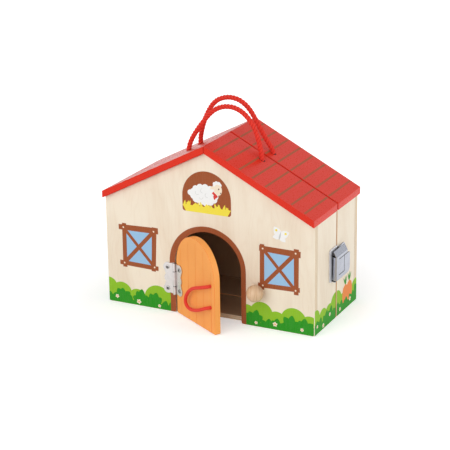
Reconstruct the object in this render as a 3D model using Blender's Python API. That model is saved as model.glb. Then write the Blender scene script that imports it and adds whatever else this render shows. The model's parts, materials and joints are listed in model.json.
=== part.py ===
"""Carry-along toy farm house in wood.

Two half-houses meet at a seam that runs across the roof. Hinges on the left side join them and a latch on
the right side holds them shut. The front half has a hinged door with an elastic loop for its ball knob.
Each half has a rope handle. Metres, +Z up, front towards -Y, origin under the middle of the front floor.
"""
import math

import bmesh
import bpy
from mathutils import Matrix, Vector

MM = 0.001

# House
HOUSE_WIDTH = 280 * MM
HOUSE_DEPTH = 132 * MM
EAVE_HEIGHT = 137.5 * MM
RIDGE_HEIGHT = 209.7 * MM
WALL_BOARD = 8 * MM
ROOF_BOARD = 8 * MM
FLOOR_BOARD = 6 * MM
SIDE_OVERHANG = 1 * MM
END_OVERHANG = 6 * MM
BOARD_EDGE_RADIUS = 0.7 * MM
WALL_FOOT_RADIUS = 2.5 * MM
JOINT_GAP = 0.3 * MM
SEAM_GAP = 2.4 * MM

# Doorway and door
DOORWAY_WIDTH = 89 * MM
DOORWAY_SPRING = 66 * MM
JAMB_FOOT_RADIUS = 1.5 * MM
DOOR_THICKNESS = 8 * MM
DOOR_SIDE_GAP = 1 * MM
DOOR_FLOOR_GAP = 0.8 * MM
DOOR_OPEN_ANGLE = 31
PLANK_LINE_COUNT = 5
HINGE_PLANK_WIDTH = 11.2 * MM
CLOSING_PLANK_WIDTH = 7.9 * MM
PLANK_LINE_WIDTH = 0.8 * MM
PLANK_LINE_DEPTH = 0.4 * MM
PLANK_LINE_ARCH_MARGIN = 6 * MM

# Ball knob on its peg
KNOB_FROM_CENTRE = 68.8 * MM
KNOB_HEIGHT = 48.1 * MM
KNOB_RADIUS = 10.3 * MM
KNOB_STANDOFF = 12.9 * MM
KNOB_FLAT_RADIUS = 4.5 * MM
KNOB_BORE_DEPTH = 8 * MM
PEG_RADIUS = 3 * MM
PEG_BOARD_DEPTH = 6 * MM

# Butterfly hinges
LEAF_HEIGHT = 40 * MM
LEAF_THICKNESS = 1 * MM
LEAF_SEAT = 0.2 * MM
LEAF_LOBE_RADIUS = 6 * MM
LEAF_MIDDLE_REACH = 14.6 * MM
KNUCKLE_RADIUS = 2 * MM
KNUCKLE_GAP = 0.8 * MM
KNUCKLE_CLEARANCE = 0.3 * MM
MIDDLE_KNUCKLE_LENGTH = 18.4 * MM
END_KNUCKLE_LENGTH = 10.2 * MM
PIN_RADIUS = 0.9 * MM
PIN_CLEARANCE = 0.1 * MM
PIN_HEAD_RADIUS = 1.5 * MM
PIN_HEAD_HEIGHT = 0.8 * MM
DOOR_HINGE_HEIGHT = 44.8 * MM
DOOR_HINGE_BESIDE_JAMB = 0.3 * MM
HOUSE_HINGE_ABOVE_FLOOR = 36 * MM
HOUSE_HINGE_BELOW_EAVE = 33.5 * MM

# Screws
SCREW_FROM_AXIS = 9.8 * MM
SCREW_SPACING = 27.4 * MM
SCREW_HEAD_RADIUS = 2.7 * MM
SCREW_HEAD_HEIGHT = 0.7 * MM
SCREW_SHANK_RADIUS = 1.2 * MM
SCREW_LENGTH = 6 * MM
SCREW_POINT_LENGTH = 1.6 * MM
SCREW_HOLE_CLEARANCE = 0.3 * MM
SCREW_SLOT_WIDTH = 0.7 * MM
SCREW_SLOT_LENGTH = 3 * MM
SCREW_SLOT_DEPTH = 0.45 * MM
SCREW_FLAT_SHARE = 0.8
METAL_SEAT = 0.1 * MM

# Latch
LATCH_HEIGHT = 73.6 * MM
LATCH_BASE_TALL = 41.4 * MM
STRIKE_TALL = 35.2 * MM
LATCH_PLATE_THICKNESS = 1.2 * MM
LATCH_PLATE_CORNER = 3.5 * MM
LATCH_SEAM_MARGIN = 1.6 * MM
LATCH_BASE_REACH = 24.2 * MM
STRIKE_REACH = 22.5 * MM
COVER_LEFT_REACH = 17.5 * MM
COVER_RIGHT_REACH = 23.8 * MM
COVER_FACE_TALL = 29.6 * MM
COVER_BEVEL_TALL = 7.3 * MM
COVER_BEVEL_DEPTH = 3.9 * MM
COVER_WALL_DEPTH = 4.4 * MM
COVER_SHEET = 1 * MM
COVER_STANDOFF = 7.6 * MM
COVER_NOSE_LENGTH = 7.6 * MM
NOSE_TOP_RADIUS = 2.8 * MM
NOSE_FOOT_RADIUS = 6.5 * MM
LEVER_PIVOT_REACH = 15.4 * MM
LEVER_PIVOT_STANDOFF = 4 * MM
LEVER_BARREL_RADIUS = 1.9 * MM
EAR_THICKNESS = 1.2 * MM
EAR_RADIUS = 1.5 * MM
EAR_GAP = 0.3 * MM
TONGUE_LENGTH = 16.9 * MM
TONGUE_TALL = 20.1 * MM
TONGUE_CUT = 1 * MM
TONGUE_END_FROM_SEAM = 6.8 * MM
TONGUE_ABOVE_FOOT = 5.2 * MM
LUG_FROM_SEAM = 3.6 * MM
LUG_RADIUS = 1.8 * MM
LUG_TALL = 10 * MM
LUG_GAP = 0.3 * MM
STRIKE_ABOVE_LUG = 3.95 * MM
RIVET_HEAD_RADIUS = 2.2 * MM
RIVET_HEAD_HEIGHT = 0.7 * MM
RIVET_SHANK_RADIUS = 1.2 * MM
RIVET_LENGTH = 5 * MM
RIVET_SPACING = 25 * MM
BASE_RIVET_FROM_SEAM = 8 * MM
STRIKE_RIVET_FROM_SEAM = 5.5 * MM
# The rivet's dome: shares of its head's radius and height
DOME_SHARES = [(1, 0), (0.85, 0.5), (0.5, 0.9), (0, 1)]

# Rope handles and the door's elastic loop
ROPE_RADIUS = 3.2 * MM
ROPE_HOLE_CLEARANCE = 0.4 * MM
ROPE_HOLE_FROM_RIDGE = 49 * MM
ROPE_HOLE_FROM_SEAM = 15.6 * MM
KNOT_RADIUS = 6.4 * MM
KNOT_HEIGHT = 11 * MM
# The knot's outline: shares of its radius and of half its height
KNOT_SHARES = [(0, -1), (0.45, -1), (0.8, -0.75), (1, -0.35), (0.94, 0), (1, 0.3), (0.82, 0.72), (0.5, 1),
               (0, 1)]
LOOP_RADIUS = 2.15 * MM
LOOP_HOLE_CLEARANCE = 0.3 * MM
LOOP_HOLE_DEPTH = 5 * MM
LOOP_HOLE_FROM_AXIS = 79.5 * MM
LOOP_HOLE_SPACING = 27 * MM
LOOP_HEIGHT = 46.6 * MM

CUTTER_OVERRUN = 1 * MM
ARCH_STEPS = 36
ROUND_SIDES = 16
KNOB_SIDES = 24
SCREW_SIDES = 12
EDGE_ANGLE = 40
SMOOTH_ANGLE = 35
MERGE_DISTANCE = 0.0005 * MM

# Places worked out from the sizes above
HALF_WIDTH = HOUSE_WIDTH / 2
HALF_DEPTH = HOUSE_DEPTH / 2
ROOF_SLOPE = math.atan2(RIDGE_HEIGHT - EAVE_HEIGHT, HALF_WIDTH)
SEAM_HALF_GAP = SEAM_GAP / 2
INNER_DEPTH = HALF_DEPTH - WALL_BOARD - JOINT_GAP - SEAM_HALF_GAP
SEAM_Y = INNER_DEPTH / 2 + SEAM_HALF_GAP
FRONT_Y = SEAM_Y - HALF_DEPTH
DOORWAY_RADIUS = DOORWAY_WIDTH / 2
AXIS_STANDOFF = LEAF_SEAT + KNUCKLE_RADIUS
DOOR_AXIS = Vector((-DOORWAY_RADIUS - DOOR_HINGE_BESIDE_JAMB, FRONT_Y - AXIS_STANDOFF, 0))
HOUSE_AXIS = Vector((-HALF_WIDTH - AXIS_STANDOFF, SEAM_Y, 0))
LEVER_AXIS = Vector((HALF_WIDTH + LEVER_PIVOT_STANDOFF, SEAM_Y - LEVER_PIVOT_REACH, 0))
COVER_FOOT = LATCH_HEIGHT - LATCH_BASE_TALL / 2 + EAR_THICKNESS + EAR_GAP
COVER_FACE_TOP = COVER_FOOT + COVER_FACE_TALL
BARREL_TOP = COVER_FACE_TOP - EAR_GAP
TONGUE_FOOT = COVER_FOOT + TONGUE_ABOVE_FOOT
TONGUE_TOP = TONGUE_FOOT + TONGUE_TALL
LUG_HEIGHT = (TONGUE_FOOT + TONGUE_TOP) / 2
HOUSE_HINGE_HEIGHTS = {"lower": HOUSE_HINGE_ABOVE_FLOOR, "upper": EAVE_HEIGHT - HOUSE_HINGE_BELOW_EAVE}
FRONT = -1
REAR = 1
PLATE_HEIGHTS = {FRONT: LATCH_HEIGHT, REAR: LUG_HEIGHT + STRIKE_ABOVE_LUG}

# Colours, roughness and metallic value of each finish
FINISHES = {
    "birch": ((0.86, 0.75, 0.60), 0.55, 0),
    "red_paint": ((0.68, 0.05, 0.03), 0.35, 0),
    "orange_paint": ((0.89, 0.32, 0.08), 0.45, 0),
    "beech": ((0.72, 0.48, 0.25), 0.5, 0),
    "nickel": ((0.66, 0.66, 0.68), 0.25, 1),
    "red_cord": ((0.74, 0.04, 0.03), 0.8, 0),
}


def clear_scene():
    """Removes every object that the file opened with."""
    for obj in list(bpy.data.objects):
        bpy.data.objects.remove(obj)


def finish(name):
    """The shared material of one finish."""
    if name in bpy.data.materials:
        return bpy.data.materials[name]
    colour, roughness, metallic = FINISHES[name]
    material = bpy.data.materials.new(name)
    material.use_nodes = True
    shader = material.node_tree.nodes["Principled BSDF"]
    shader.inputs["Base Color"].default_value = (*colour, 1)
    shader.inputs["Roughness"].default_value = roughness
    shader.inputs["Metallic"].default_value = metallic
    return material


def add_frame(name, place):
    """An empty that carries one body, standing on its joint's axis."""
    frame = bpy.data.objects.new(name, None)
    frame.location = place
    bpy.context.scene.collection.objects.link(frame)
    return frame


def add_piece(name, shape, finish_name, frame):
    """One named piece, from a shape drawn in the closed house's own coordinates."""
    mesh = bpy.data.meshes.new(name)
    shape.to_mesh(mesh)
    shape.free()
    mesh.transform(Matrix.Translation(-frame.location))
    mesh.materials.append(finish(finish_name))
    piece = bpy.data.objects.new(name, mesh)
    piece.parent = frame
    bpy.context.scene.collection.objects.link(piece)
    return piece


def apply_modifiers(piece):
    """Replaces a piece's mesh by the result of its modifiers."""
    graph = bpy.context.evaluated_depsgraph_get()
    mesh = bpy.data.meshes.new_from_object(piece.evaluated_get(graph))
    piece.modifiers.clear()
    piece.data = mesh


def combine(piece, shape, operation):
    """Joins a shape to a piece, cuts it away, or keeps what they share."""
    tool = add_piece("tool", shape, "nickel", piece.parent)
    modifier = piece.modifiers.new(operation, "BOOLEAN")
    modifier.operation = operation
    modifier.solver = "EXACT"
    modifier.object = tool
    apply_modifiers(piece)
    bpy.data.objects.remove(tool)


def round_edges(piece, radius):
    """Rounds the sharp edges of a board."""
    modifier = piece.modifiers.new("rounded edges", "BEVEL")
    modifier.width = radius
    modifier.segments = 2
    modifier.limit_method = "ANGLE"
    modifier.angle_limit = math.radians(EDGE_ANGLE)
    apply_modifiers(piece)


def shade_round(piece):
    """Shades a round piece smooth, apart from its sharp edges."""
    piece.data.shade_smooth()
    piece.data.set_sharp_from_angle(angle=math.radians(SMOOTH_ANGLE))


def prism(outline, axis, low, high):
    """An outline pushed along an axis: points are (x, z) along Y, (y, z) along X and (x, y) along Z."""
    places = {"X": lambda u, v: (low, u, v), "Y": lambda u, v: (u, low, v), "Z": lambda u, v: (u, v, low)}
    step = {"X": Vector((high - low, 0, 0)), "Y": Vector((0, high - low, 0)), "Z": Vector((0, 0, high - low))}
    shape = bmesh.new()
    face = shape.faces.new([shape.verts.new(places[axis](u, v)) for u, v in outline])
    pushed = bmesh.ops.extrude_face_region(shape, geom=[face])
    moved = [item for item in pushed["geom"] if isinstance(item, bmesh.types.BMVert)]
    bmesh.ops.translate(shape, verts=moved, vec=step[axis])
    bmesh.ops.recalc_face_normals(shape, faces=shape.faces)
    return shape


def rectangle(low_u, high_u, low_v, high_v):
    """The four corners of a rectangle."""
    return [(low_u, low_v), (high_u, low_v), (high_u, high_v), (low_u, high_v)]


def arc(centre, radius, start, end, steps):
    """Points along an arc between two angles in degrees."""
    points = []
    for step in range(steps + 1):
        angle = math.radians(start + (end - start) * step / steps)
        points.append((centre[0] + radius * math.cos(angle), centre[1] + radius * math.sin(angle)))
    return points


def rod(place, axis, radius, length, sides=ROUND_SIDES):
    """A cylinder whose middle is at a place."""
    turns = {"X": Matrix.Rotation(math.pi / 2, 4, "Y"), "Y": Matrix.Rotation(math.pi / 2, 4, "X"),
             "Z": Matrix.Identity(4)}
    shape = bmesh.new()
    bmesh.ops.create_cone(shape, cap_ends=True, segments=sides, radius1=radius, radius2=radius, depth=length,
                          matrix=Matrix.Translation(place) @ turns[axis])
    return shape


def turned(profile, sides, place, towards):
    """A turned solid: (radius, height) points that start and end on its axis, which points in a direction."""
    shape = bmesh.new()
    corners = [shape.verts.new((radius, 0, height)) for radius, height in profile]
    edges = [shape.edges.new(pair) for pair in zip(corners, corners[1:])]
    bmesh.ops.spin(shape, geom=corners + edges, cent=(0, 0, 0), axis=(0, 0, 1), angle=2 * math.pi,
                   steps=sides, use_merge=True)
    bmesh.ops.remove_doubles(shape, verts=shape.verts, dist=MERGE_DISTANCE)
    bmesh.ops.recalc_face_normals(shape, faces=shape.faces)
    turn = Vector((0, 0, 1)).rotation_difference(Vector(towards)).to_matrix().to_4x4()
    bmesh.ops.transform(shape, matrix=Matrix.Translation(place) @ turn, verts=shape.verts)
    return shape


def gather(shapes):
    """Several closed shapes in one, for one cut."""
    whole = bmesh.new()
    for shape in shapes:
        mesh = bpy.data.meshes.new("gathered")
        shape.to_mesh(mesh)
        shape.free()
        whole.from_mesh(mesh)
        bpy.data.meshes.remove(mesh)
    return whole


def from_seam(side, distance):
    """The Y of a plane at a distance in front of the seam or behind it."""
    return SEAM_Y + side * distance


def span(first, second):
    """Two values, the lower first."""
    return min(first, second), max(first, second)


def roof_underside(x):
    """The height of the roof boards' underside, at a distance from the ridge."""
    return RIDGE_HEIGHT - abs(x) * math.tan(ROOF_SLOPE)


def wall_top(x):
    """The height of a wall's top, just under the roof boards."""
    return roof_underside(x) - JOINT_GAP / math.cos(ROOF_SLOPE)


def screw_heights(middle):
    """The heights of a hinge's two screws."""
    return {"low": middle - SCREW_SPACING / 2, "high": middle + SCREW_SPACING / 2}


def gable_outline():
    """A gable wall's outline in three runs: its rounded left and right feet, and its top."""
    foot = WALL_FOOT_RADIUS
    left_foot = arc((-HALF_WIDTH + foot, foot), foot, 180, 270, 4)
    right_foot = arc((HALF_WIDTH - foot, foot), foot, 270, 360, 4)
    top = [(HALF_WIDTH, wall_top(HALF_WIDTH)), (0, wall_top(0)), (-HALF_WIDTH, wall_top(HALF_WIDTH))]
    return left_foot, right_foot, top


def add_front_wall(frame):
    """The front wall with its arched doorway, open at the foot."""
    left_foot, right_foot, top = gable_outline()
    foot = JAMB_FOOT_RADIUS
    left_jamb = arc((-DOORWAY_RADIUS - foot, foot), foot, 270, 360, 3)
    right_jamb = arc((DOORWAY_RADIUS + foot, foot), foot, 180, 270, 3)
    arch = arc((0, DOORWAY_SPRING), DOORWAY_RADIUS, 180, 0, ARCH_STEPS)
    outline = left_foot + left_jamb + arch + right_jamb + right_foot + top
    wall = add_piece("front_wall", prism(outline, "Y", FRONT_Y, FRONT_Y + WALL_BOARD), "birch", frame)
    round_edges(wall, BOARD_EDGE_RADIUS)
    holes = [peg_hole()]
    holes += leaf_screw_holes(DOOR_AXIS.x - SCREW_FROM_AXIS, FRONT_Y, "Y", DOOR_HINGE_HEIGHT)
    combine(wall, gather(holes), "DIFFERENCE")


def add_rear_wall(frame):
    """The plain rear wall."""
    left_foot, right_foot, top = gable_outline()
    rear_y = SEAM_Y + HALF_DEPTH
    wall = add_piece("rear_wall", prism(left_foot + right_foot + top, "Y", rear_y - WALL_BOARD, rear_y),
                     "birch", frame)
    round_edges(wall, BOARD_EDGE_RADIUS)


def add_side_wall(name, half, hand, frame, holes):
    """A side wall of one half: hand is -1 on the left and 1 on the right."""
    inner_x = HALF_WIDTH - WALL_BOARD
    outline = [(hand * inner_x, 0), (hand * HALF_WIDTH, 0), (hand * HALF_WIDTH, wall_top(HALF_WIDTH)),
               (hand * inner_x, wall_top(inner_x))]
    low, high = span(from_seam(half, SEAM_HALF_GAP), from_seam(half, SEAM_HALF_GAP + INNER_DEPTH))
    wall = add_piece(name, prism(outline, "Y", low, high), "birch", frame)
    round_edges(wall, BOARD_EDGE_RADIUS)
    combine(wall, gather(holes), "DIFFERENCE")


def add_floor(name, half, frame):
    """The floor board of one half, between its walls."""
    reach = HALF_WIDTH - WALL_BOARD - JOINT_GAP
    low, high = span(from_seam(half, SEAM_HALF_GAP), from_seam(half, SEAM_HALF_GAP + INNER_DEPTH))
    board = add_piece(name, prism(rectangle(-reach, reach, 0, FLOOR_BOARD), "Y", low, high), "birch", frame)
    round_edges(board, BOARD_EDGE_RADIUS)


def add_roof_board(name, half, hand, frame):
    """One roof board, mitred at the ridge, cut upright at the eave and bored for the rope."""
    rise = ROOF_BOARD / math.cos(ROOF_SLOPE)
    ridge_x = JOINT_GAP / 2
    eave_x = HALF_WIDTH + SIDE_OVERHANG
    ridge_z = roof_underside(ridge_x)
    eave_z = roof_underside(eave_x)
    outline = [(hand * ridge_x, ridge_z), (hand * eave_x, eave_z), (hand * eave_x, eave_z + rise),
               (hand * ridge_x, ridge_z + rise)]
    low, high = span(from_seam(half, SEAM_HALF_GAP), from_seam(half, HALF_DEPTH + END_OVERHANG))
    board = add_piece(name, prism(outline, "Y", low, high), "red_paint", frame)
    round_edges(board, BOARD_EDGE_RADIUS)
    middle = roof_underside(ROPE_HOLE_FROM_RIDGE) + rise / 2
    place = (hand * ROPE_HOLE_FROM_RIDGE, from_seam(half, ROPE_HOLE_FROM_SEAM), middle)
    radius = ROPE_RADIUS + ROPE_HOLE_CLEARANCE
    length = rise + 2 * (radius * math.tan(ROOF_SLOPE) + CUTTER_OVERRUN)
    combine(board, rod(place, "Z", radius, length), "DIFFERENCE")


def leaf_screw_holes(u, face, axis, middle):
    """The pilot holes of one hinge leaf's two screws, bored into a board's outer face."""
    depth = SCREW_LENGTH - LEAF_SEAT - LEAF_THICKNESS - METAL_SEAT + JOINT_GAP
    holes = []
    for height in screw_heights(middle).values():
        inwards = {"Y": (u, face + (depth - CUTTER_OVERRUN) / 2, height),
                   "X": (face + (depth - CUTTER_OVERRUN) / 2, u, height)}
        holes.append(rod(inwards[axis], axis, SCREW_SHANK_RADIUS + SCREW_HOLE_CLEARANCE,
                         depth + CUTTER_OVERRUN, SCREW_SIDES))
    return holes


def rivet_places(half):
    """The places of a latch plate's two rivets on the right side wall."""
    reach = BASE_RIVET_FROM_SEAM if half == FRONT else STRIKE_RIVET_FROM_SEAM
    y = from_seam(half, reach)
    middle = PLATE_HEIGHTS[half]
    return {"low": (y, middle - RIVET_SPACING / 2), "high": (y, middle + RIVET_SPACING / 2)}


def rivet_holes(half):
    """The holes of a latch plate's rivets, bored into the right side wall."""
    depth = RIVET_LENGTH - LEAF_SEAT - LATCH_PLATE_THICKNESS - METAL_SEAT + JOINT_GAP
    holes = []
    for y, z in rivet_places(half).values():
        place = (HALF_WIDTH - (depth - CUTTER_OVERRUN) / 2, y, z)
        holes.append(rod(place, "X", RIVET_SHANK_RADIUS + SCREW_HOLE_CLEARANCE,
                         depth + CUTTER_OVERRUN, SCREW_SIDES))
    return holes


def house_hinge_holes(half):
    """The pilot holes of both side hinges in one left side wall."""
    holes = []
    for middle in HOUSE_HINGE_HEIGHTS.values():
        holes += leaf_screw_holes(from_seam(half, SCREW_FROM_AXIS), -HALF_WIDTH, "X", middle)
    return holes


def peg_hole():
    """The blind hole for the knob's peg, in the front wall."""
    length = PEG_BOARD_DEPTH + JOINT_GAP + CUTTER_OVERRUN
    place = (KNOB_FROM_CENTRE, FRONT_Y - CUTTER_OVERRUN + length / 2, KNOB_HEIGHT)
    return rod(place, "Y", PEG_RADIUS + JOINT_GAP, length)


def add_knob(frame):
    """The wooden ball knob, flat and bored where its peg goes in, and the peg."""
    centre = Vector((KNOB_FROM_CENTRE, FRONT_Y - KNOB_STANDOFF, KNOB_HEIGHT))
    flat = math.sqrt(KNOB_RADIUS ** 2 - KNOB_FLAT_RADIUS ** 2)
    flat_angle = math.degrees(math.asin(flat / KNOB_RADIUS))
    bore = PEG_RADIUS + JOINT_GAP
    outside = [(radius, height) for radius, height in arc((0, 0), KNOB_RADIUS, -flat_angle, 90, 12)]
    outside[-1] = (0, KNOB_RADIUS)
    profile = [(0, KNOB_BORE_DEPTH - flat), (bore, KNOB_BORE_DEPTH - flat), (bore, -flat)] + outside
    knob = add_piece("door_knob", turned(profile, KNOB_SIDES, centre, (0, -1, 0)), "beech", frame)
    shade_round(knob)
    peg_front = centre.y + flat - KNOB_BORE_DEPTH + JOINT_GAP
    peg_back = FRONT_Y + PEG_BOARD_DEPTH
    middle = (centre.x, (peg_front + peg_back) / 2, centre.z)
    peg = add_piece("door_knob_peg", rod(middle, "Y", PEG_RADIUS, peg_back - peg_front), "beech", frame)
    shade_round(peg)


def leaf_outline(hand):
    """Half of a butterfly, from the axis outwards: a lobe at each screw and one between them."""
    tip = LEAF_HEIGHT / 2
    lobe_u = SCREW_FROM_AXIS
    lobe_v = tip - LEAF_LOBE_RADIUS
    inner_u = PIN_RADIUS
    knuckle_end = MIDDLE_KNUCKLE_LENGTH / 2 + KNUCKLE_GAP + END_KNUCKLE_LENGTH
    lower = arc((lobe_u, -lobe_v), LEAF_LOBE_RADIUS, 240, 405, 10)
    middle = arc((LEAF_MIDDLE_REACH - LEAF_LOBE_RADIUS, 0), LEAF_LOBE_RADIUS, -50, 50, 6)
    upper = arc((lobe_u, lobe_v), LEAF_LOBE_RADIUS, -45, 120, 10)
    points = [(inner_u, -knuckle_end)] + lower + middle + upper + [(inner_u, knuckle_end)]
    return [(hand * u, v) for u, v in points]


def knuckle_spans(outer):
    """The lengths of the axis that one leaf's knuckles take: the two outer ones, or the middle one."""
    half = MIDDLE_KNUCKLE_LENGTH / 2
    if outer:
        return [(-half - KNUCKLE_GAP - END_KNUCKLE_LENGTH, -half - KNUCKLE_GAP),
                (half + KNUCKLE_GAP, half + KNUCKLE_GAP + END_KNUCKLE_LENGTH)]
    return [(-half, half)]


def leaf_shape_parts(hand, outer):
    """A leaf's plate, its knuckles and what is cut away, drawn about the hinge axis with the wall at +Y."""
    back = KNUCKLE_RADIUS
    plate = prism(leaf_outline(hand), "Y", back - LEAF_THICKNESS, back)
    room = KNUCKLE_RADIUS + KNUCKLE_CLEARANCE
    clearings = []
    for low, high in knuckle_spans(not outer):
        low_u, high_u = span(0, hand * room)
        clearings.append(prism(rectangle(low_u, high_u, low - KNUCKLE_GAP, high + KNUCKLE_GAP), "Y",
                               back - LEAF_THICKNESS - CUTTER_OVERRUN, back + CUTTER_OVERRUN))
    knuckles = [rod((0, 0, (low + high) / 2), "Z", KNUCKLE_RADIUS, high - low)
                for low, high in knuckle_spans(outer)]
    bores = [rod((0, 0, 0), "Z", PIN_RADIUS + PIN_CLEARANCE, LEAF_HEIGHT + 4 * CUTTER_OVERRUN)]
    for height in screw_heights(0).values():
        place = (hand * SCREW_FROM_AXIS, back, height)
        bores.append(rod(place, "Y", SCREW_SHANK_RADIUS + SCREW_HOLE_CLEARANCE,
                         2 * (LEAF_THICKNESS + CUTTER_OVERRUN), SCREW_SIDES))
    return plate, clearings, knuckles, bores


def add_hinge_leaf(name, axis_place, height, wall_towards, hand, outer, frame):
    """One hinge leaf, set on its wall: wall_towards is the turn that brings +Y towards the wall."""
    place = Matrix.Translation((axis_place.x, axis_place.y, height)) @ Matrix.Rotation(wall_towards, 4, "Z")
    plate, clearings, knuckles, bores = leaf_shape_parts(hand, outer)
    for shape in [plate] + clearings + knuckles + bores:
        bmesh.ops.transform(shape, matrix=place, verts=shape.verts)
    leaf = add_piece(name, plate, "nickel", frame)
    combine(leaf, gather(clearings), "DIFFERENCE")
    combine(leaf, gather(knuckles), "UNION")
    combine(leaf, gather(bores), "DIFFERENCE")
    shade_round(leaf)


def add_hinge_pin(name, axis_place, height, frame):
    """A hinge pin with a domed head at each end, just clear of the knuckles."""
    reach = MIDDLE_KNUCKLE_LENGTH / 2 + KNUCKLE_GAP + END_KNUCKLE_LENGTH + METAL_SEAT
    head = reach + PIN_HEAD_HEIGHT
    rim = PIN_HEAD_RADIUS
    half_profile = [(PIN_RADIUS, reach), (rim, reach), (rim, reach + PIN_HEAD_HEIGHT / 2), (rim / 2, head),
                    (0, head)]
    profile = [(radius, -height) for radius, height in reversed(half_profile)] + half_profile
    place = (axis_place.x, axis_place.y, height)
    pin = add_piece(name, turned(profile, ROUND_SIDES, place, (0, 0, 1)), "nickel", frame)
    shade_round(pin)


def add_screw(name, seat, outwards, frame):
    """A pan-head screw: seat is the underside of its head, outwards the way that the head faces."""
    head = SCREW_HEAD_RADIUS
    shank = SCREW_SHANK_RADIUS
    straight = SCREW_LENGTH - SCREW_POINT_LENGTH
    profile = [(0, -SCREW_LENGTH), (shank, -straight), (shank, 0), (head, 0), (head, SCREW_HEAD_HEIGHT / 2),
               (head * SCREW_FLAT_SHARE, SCREW_HEAD_HEIGHT), (0, SCREW_HEAD_HEIGHT)]
    screw = add_piece(name, turned(profile, SCREW_SIDES, seat, outwards), "nickel", frame)
    side = Vector((outwards[1], -outwards[0], 0))
    top = Vector(seat) + Vector(outwards) * SCREW_HEAD_HEIGHT
    arms = []
    for along, across in ((side, Vector((0, 0, 1))), (Vector((0, 0, 1)), side)):
        arms.append(box(top, along * SCREW_SLOT_LENGTH, across * SCREW_SLOT_WIDTH,
                        Vector(outwards) * 2 * SCREW_SLOT_DEPTH))
    for arm in arms:
        combine(screw, arm, "DIFFERENCE")
    shade_round(screw)


def box(middle, first, second, third):
    """A box about a middle, from the three vectors along its edges."""
    shape = bmesh.new()
    bmesh.ops.create_cube(shape, size=1)
    turn = Matrix((first, second, third)).transposed().to_4x4()
    bmesh.ops.transform(shape, matrix=Matrix.Translation(middle) @ turn, verts=shape.verts)
    bmesh.ops.recalc_face_normals(shape, faces=shape.faces)
    return shape


def add_leaf_screws(name, axis_place, middle, outwards, along, frame):
    """The two screws of one hinge leaf: along points from the axis to the leaf."""
    rise = LEAF_THICKNESS + METAL_SEAT - KNUCKLE_RADIUS
    for level, height in screw_heights(middle).items():
        seat = Vector((axis_place.x, axis_place.y, height)) + Vector(along) * SCREW_FROM_AXIS
        seat += Vector(outwards) * rise
        add_screw(f"{name}_{level}", seat, outwards, frame)


def add_door_hinge(front, door):
    """The door's hinge: the wall leaf with the outer knuckles, the pin, the door leaf and four screws."""
    outwards = (0, -1, 0)
    add_hinge_leaf("door_hinge_wall_leaf", DOOR_AXIS, DOOR_HINGE_HEIGHT, 0, -1, True, front)
    add_hinge_leaf("door_hinge_door_leaf", DOOR_AXIS, DOOR_HINGE_HEIGHT, 0, 1, False, door)
    add_hinge_pin("door_hinge_pin", DOOR_AXIS, DOOR_HINGE_HEIGHT, front)
    add_leaf_screws("door_hinge_wall_screw", DOOR_AXIS, DOOR_HINGE_HEIGHT, outwards, (-1, 0, 0), front)
    add_leaf_screws("door_hinge_door_screw", DOOR_AXIS, DOOR_HINGE_HEIGHT, outwards, (1, 0, 0), door)


def add_house_hinges(front, rear):
    """The two hinges on the left side, across the seam."""
    outwards = (-1, 0, 0)
    quarter_turn = -math.pi / 2
    for level, middle in HOUSE_HINGE_HEIGHTS.items():
        add_hinge_leaf(f"{level}_hinge_front_leaf", HOUSE_AXIS, middle, quarter_turn, 1, True, front)
        add_hinge_leaf(f"{level}_hinge_rear_leaf", HOUSE_AXIS, middle, quarter_turn, -1, False, rear)
        add_hinge_pin(f"{level}_hinge_pin", HOUSE_AXIS, middle, front)
        add_leaf_screws(f"{level}_hinge_front_screw", HOUSE_AXIS, middle, outwards, (0, -1, 0), front)
        add_leaf_screws(f"{level}_hinge_rear_screw", HOUSE_AXIS, middle, outwards, (0, 1, 0), rear)


def door_arch(margin):
    """The radius of the door's arch, less a margin."""
    return DOORWAY_RADIUS - DOOR_SIDE_GAP - margin


def plank_lines():
    """The X of each line between the door's planks, in the closed house."""
    first = HINGE_PLANK_WIDTH - door_arch(0)
    last = door_arch(0) - CLOSING_PLANK_WIDTH
    step = (last - first) / (PLANK_LINE_COUNT - 1)
    return [first + step * line for line in range(PLANK_LINE_COUNT)]


def add_door(frame):
    """The arched door board, with a groove at each plank line and the holes for the loop and the screws."""
    radius = door_arch(0)
    outline = arc((0, DOORWAY_SPRING), radius, 0, 180, ARCH_STEPS)
    outline += [(-radius, DOOR_FLOOR_GAP), (radius, DOOR_FLOOR_GAP)]
    door = add_piece("door", prism(outline, "Y", FRONT_Y, FRONT_Y + DOOR_THICKNESS), "orange_paint", frame)
    round_edges(door, BOARD_EDGE_RADIUS)
    cuts = []
    inner_radius = door_arch(PLANK_LINE_ARCH_MARGIN)
    for x in plank_lines():
        rise = math.sqrt(max(inner_radius ** 2 - x ** 2, 0))
        groove = rectangle(x - PLANK_LINE_WIDTH / 2, x + PLANK_LINE_WIDTH / 2, -CUTTER_OVERRUN,
                           DOORWAY_SPRING + rise)
        cuts.append(prism(groove, "Y", FRONT_Y - CUTTER_OVERRUN, FRONT_Y + PLANK_LINE_DEPTH))
    combine(door, gather(cuts), "DIFFERENCE")
    holes = leaf_screw_holes(DOOR_AXIS.x + SCREW_FROM_AXIS, FRONT_Y, "Y", DOOR_HINGE_HEIGHT)
    length = LOOP_HOLE_DEPTH + CUTTER_OVERRUN
    for height in (LOOP_HEIGHT - LOOP_HOLE_SPACING / 2, LOOP_HEIGHT + LOOP_HOLE_SPACING / 2):
        place = (DOOR_AXIS.x + LOOP_HOLE_FROM_AXIS, FRONT_Y - CUTTER_OVERRUN + length / 2, height)
        holes.append(rod(place, "Y", LOOP_RADIUS + LOOP_HOLE_CLEARANCE, length))
    combine(door, gather(holes), "DIFFERENCE")


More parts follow.
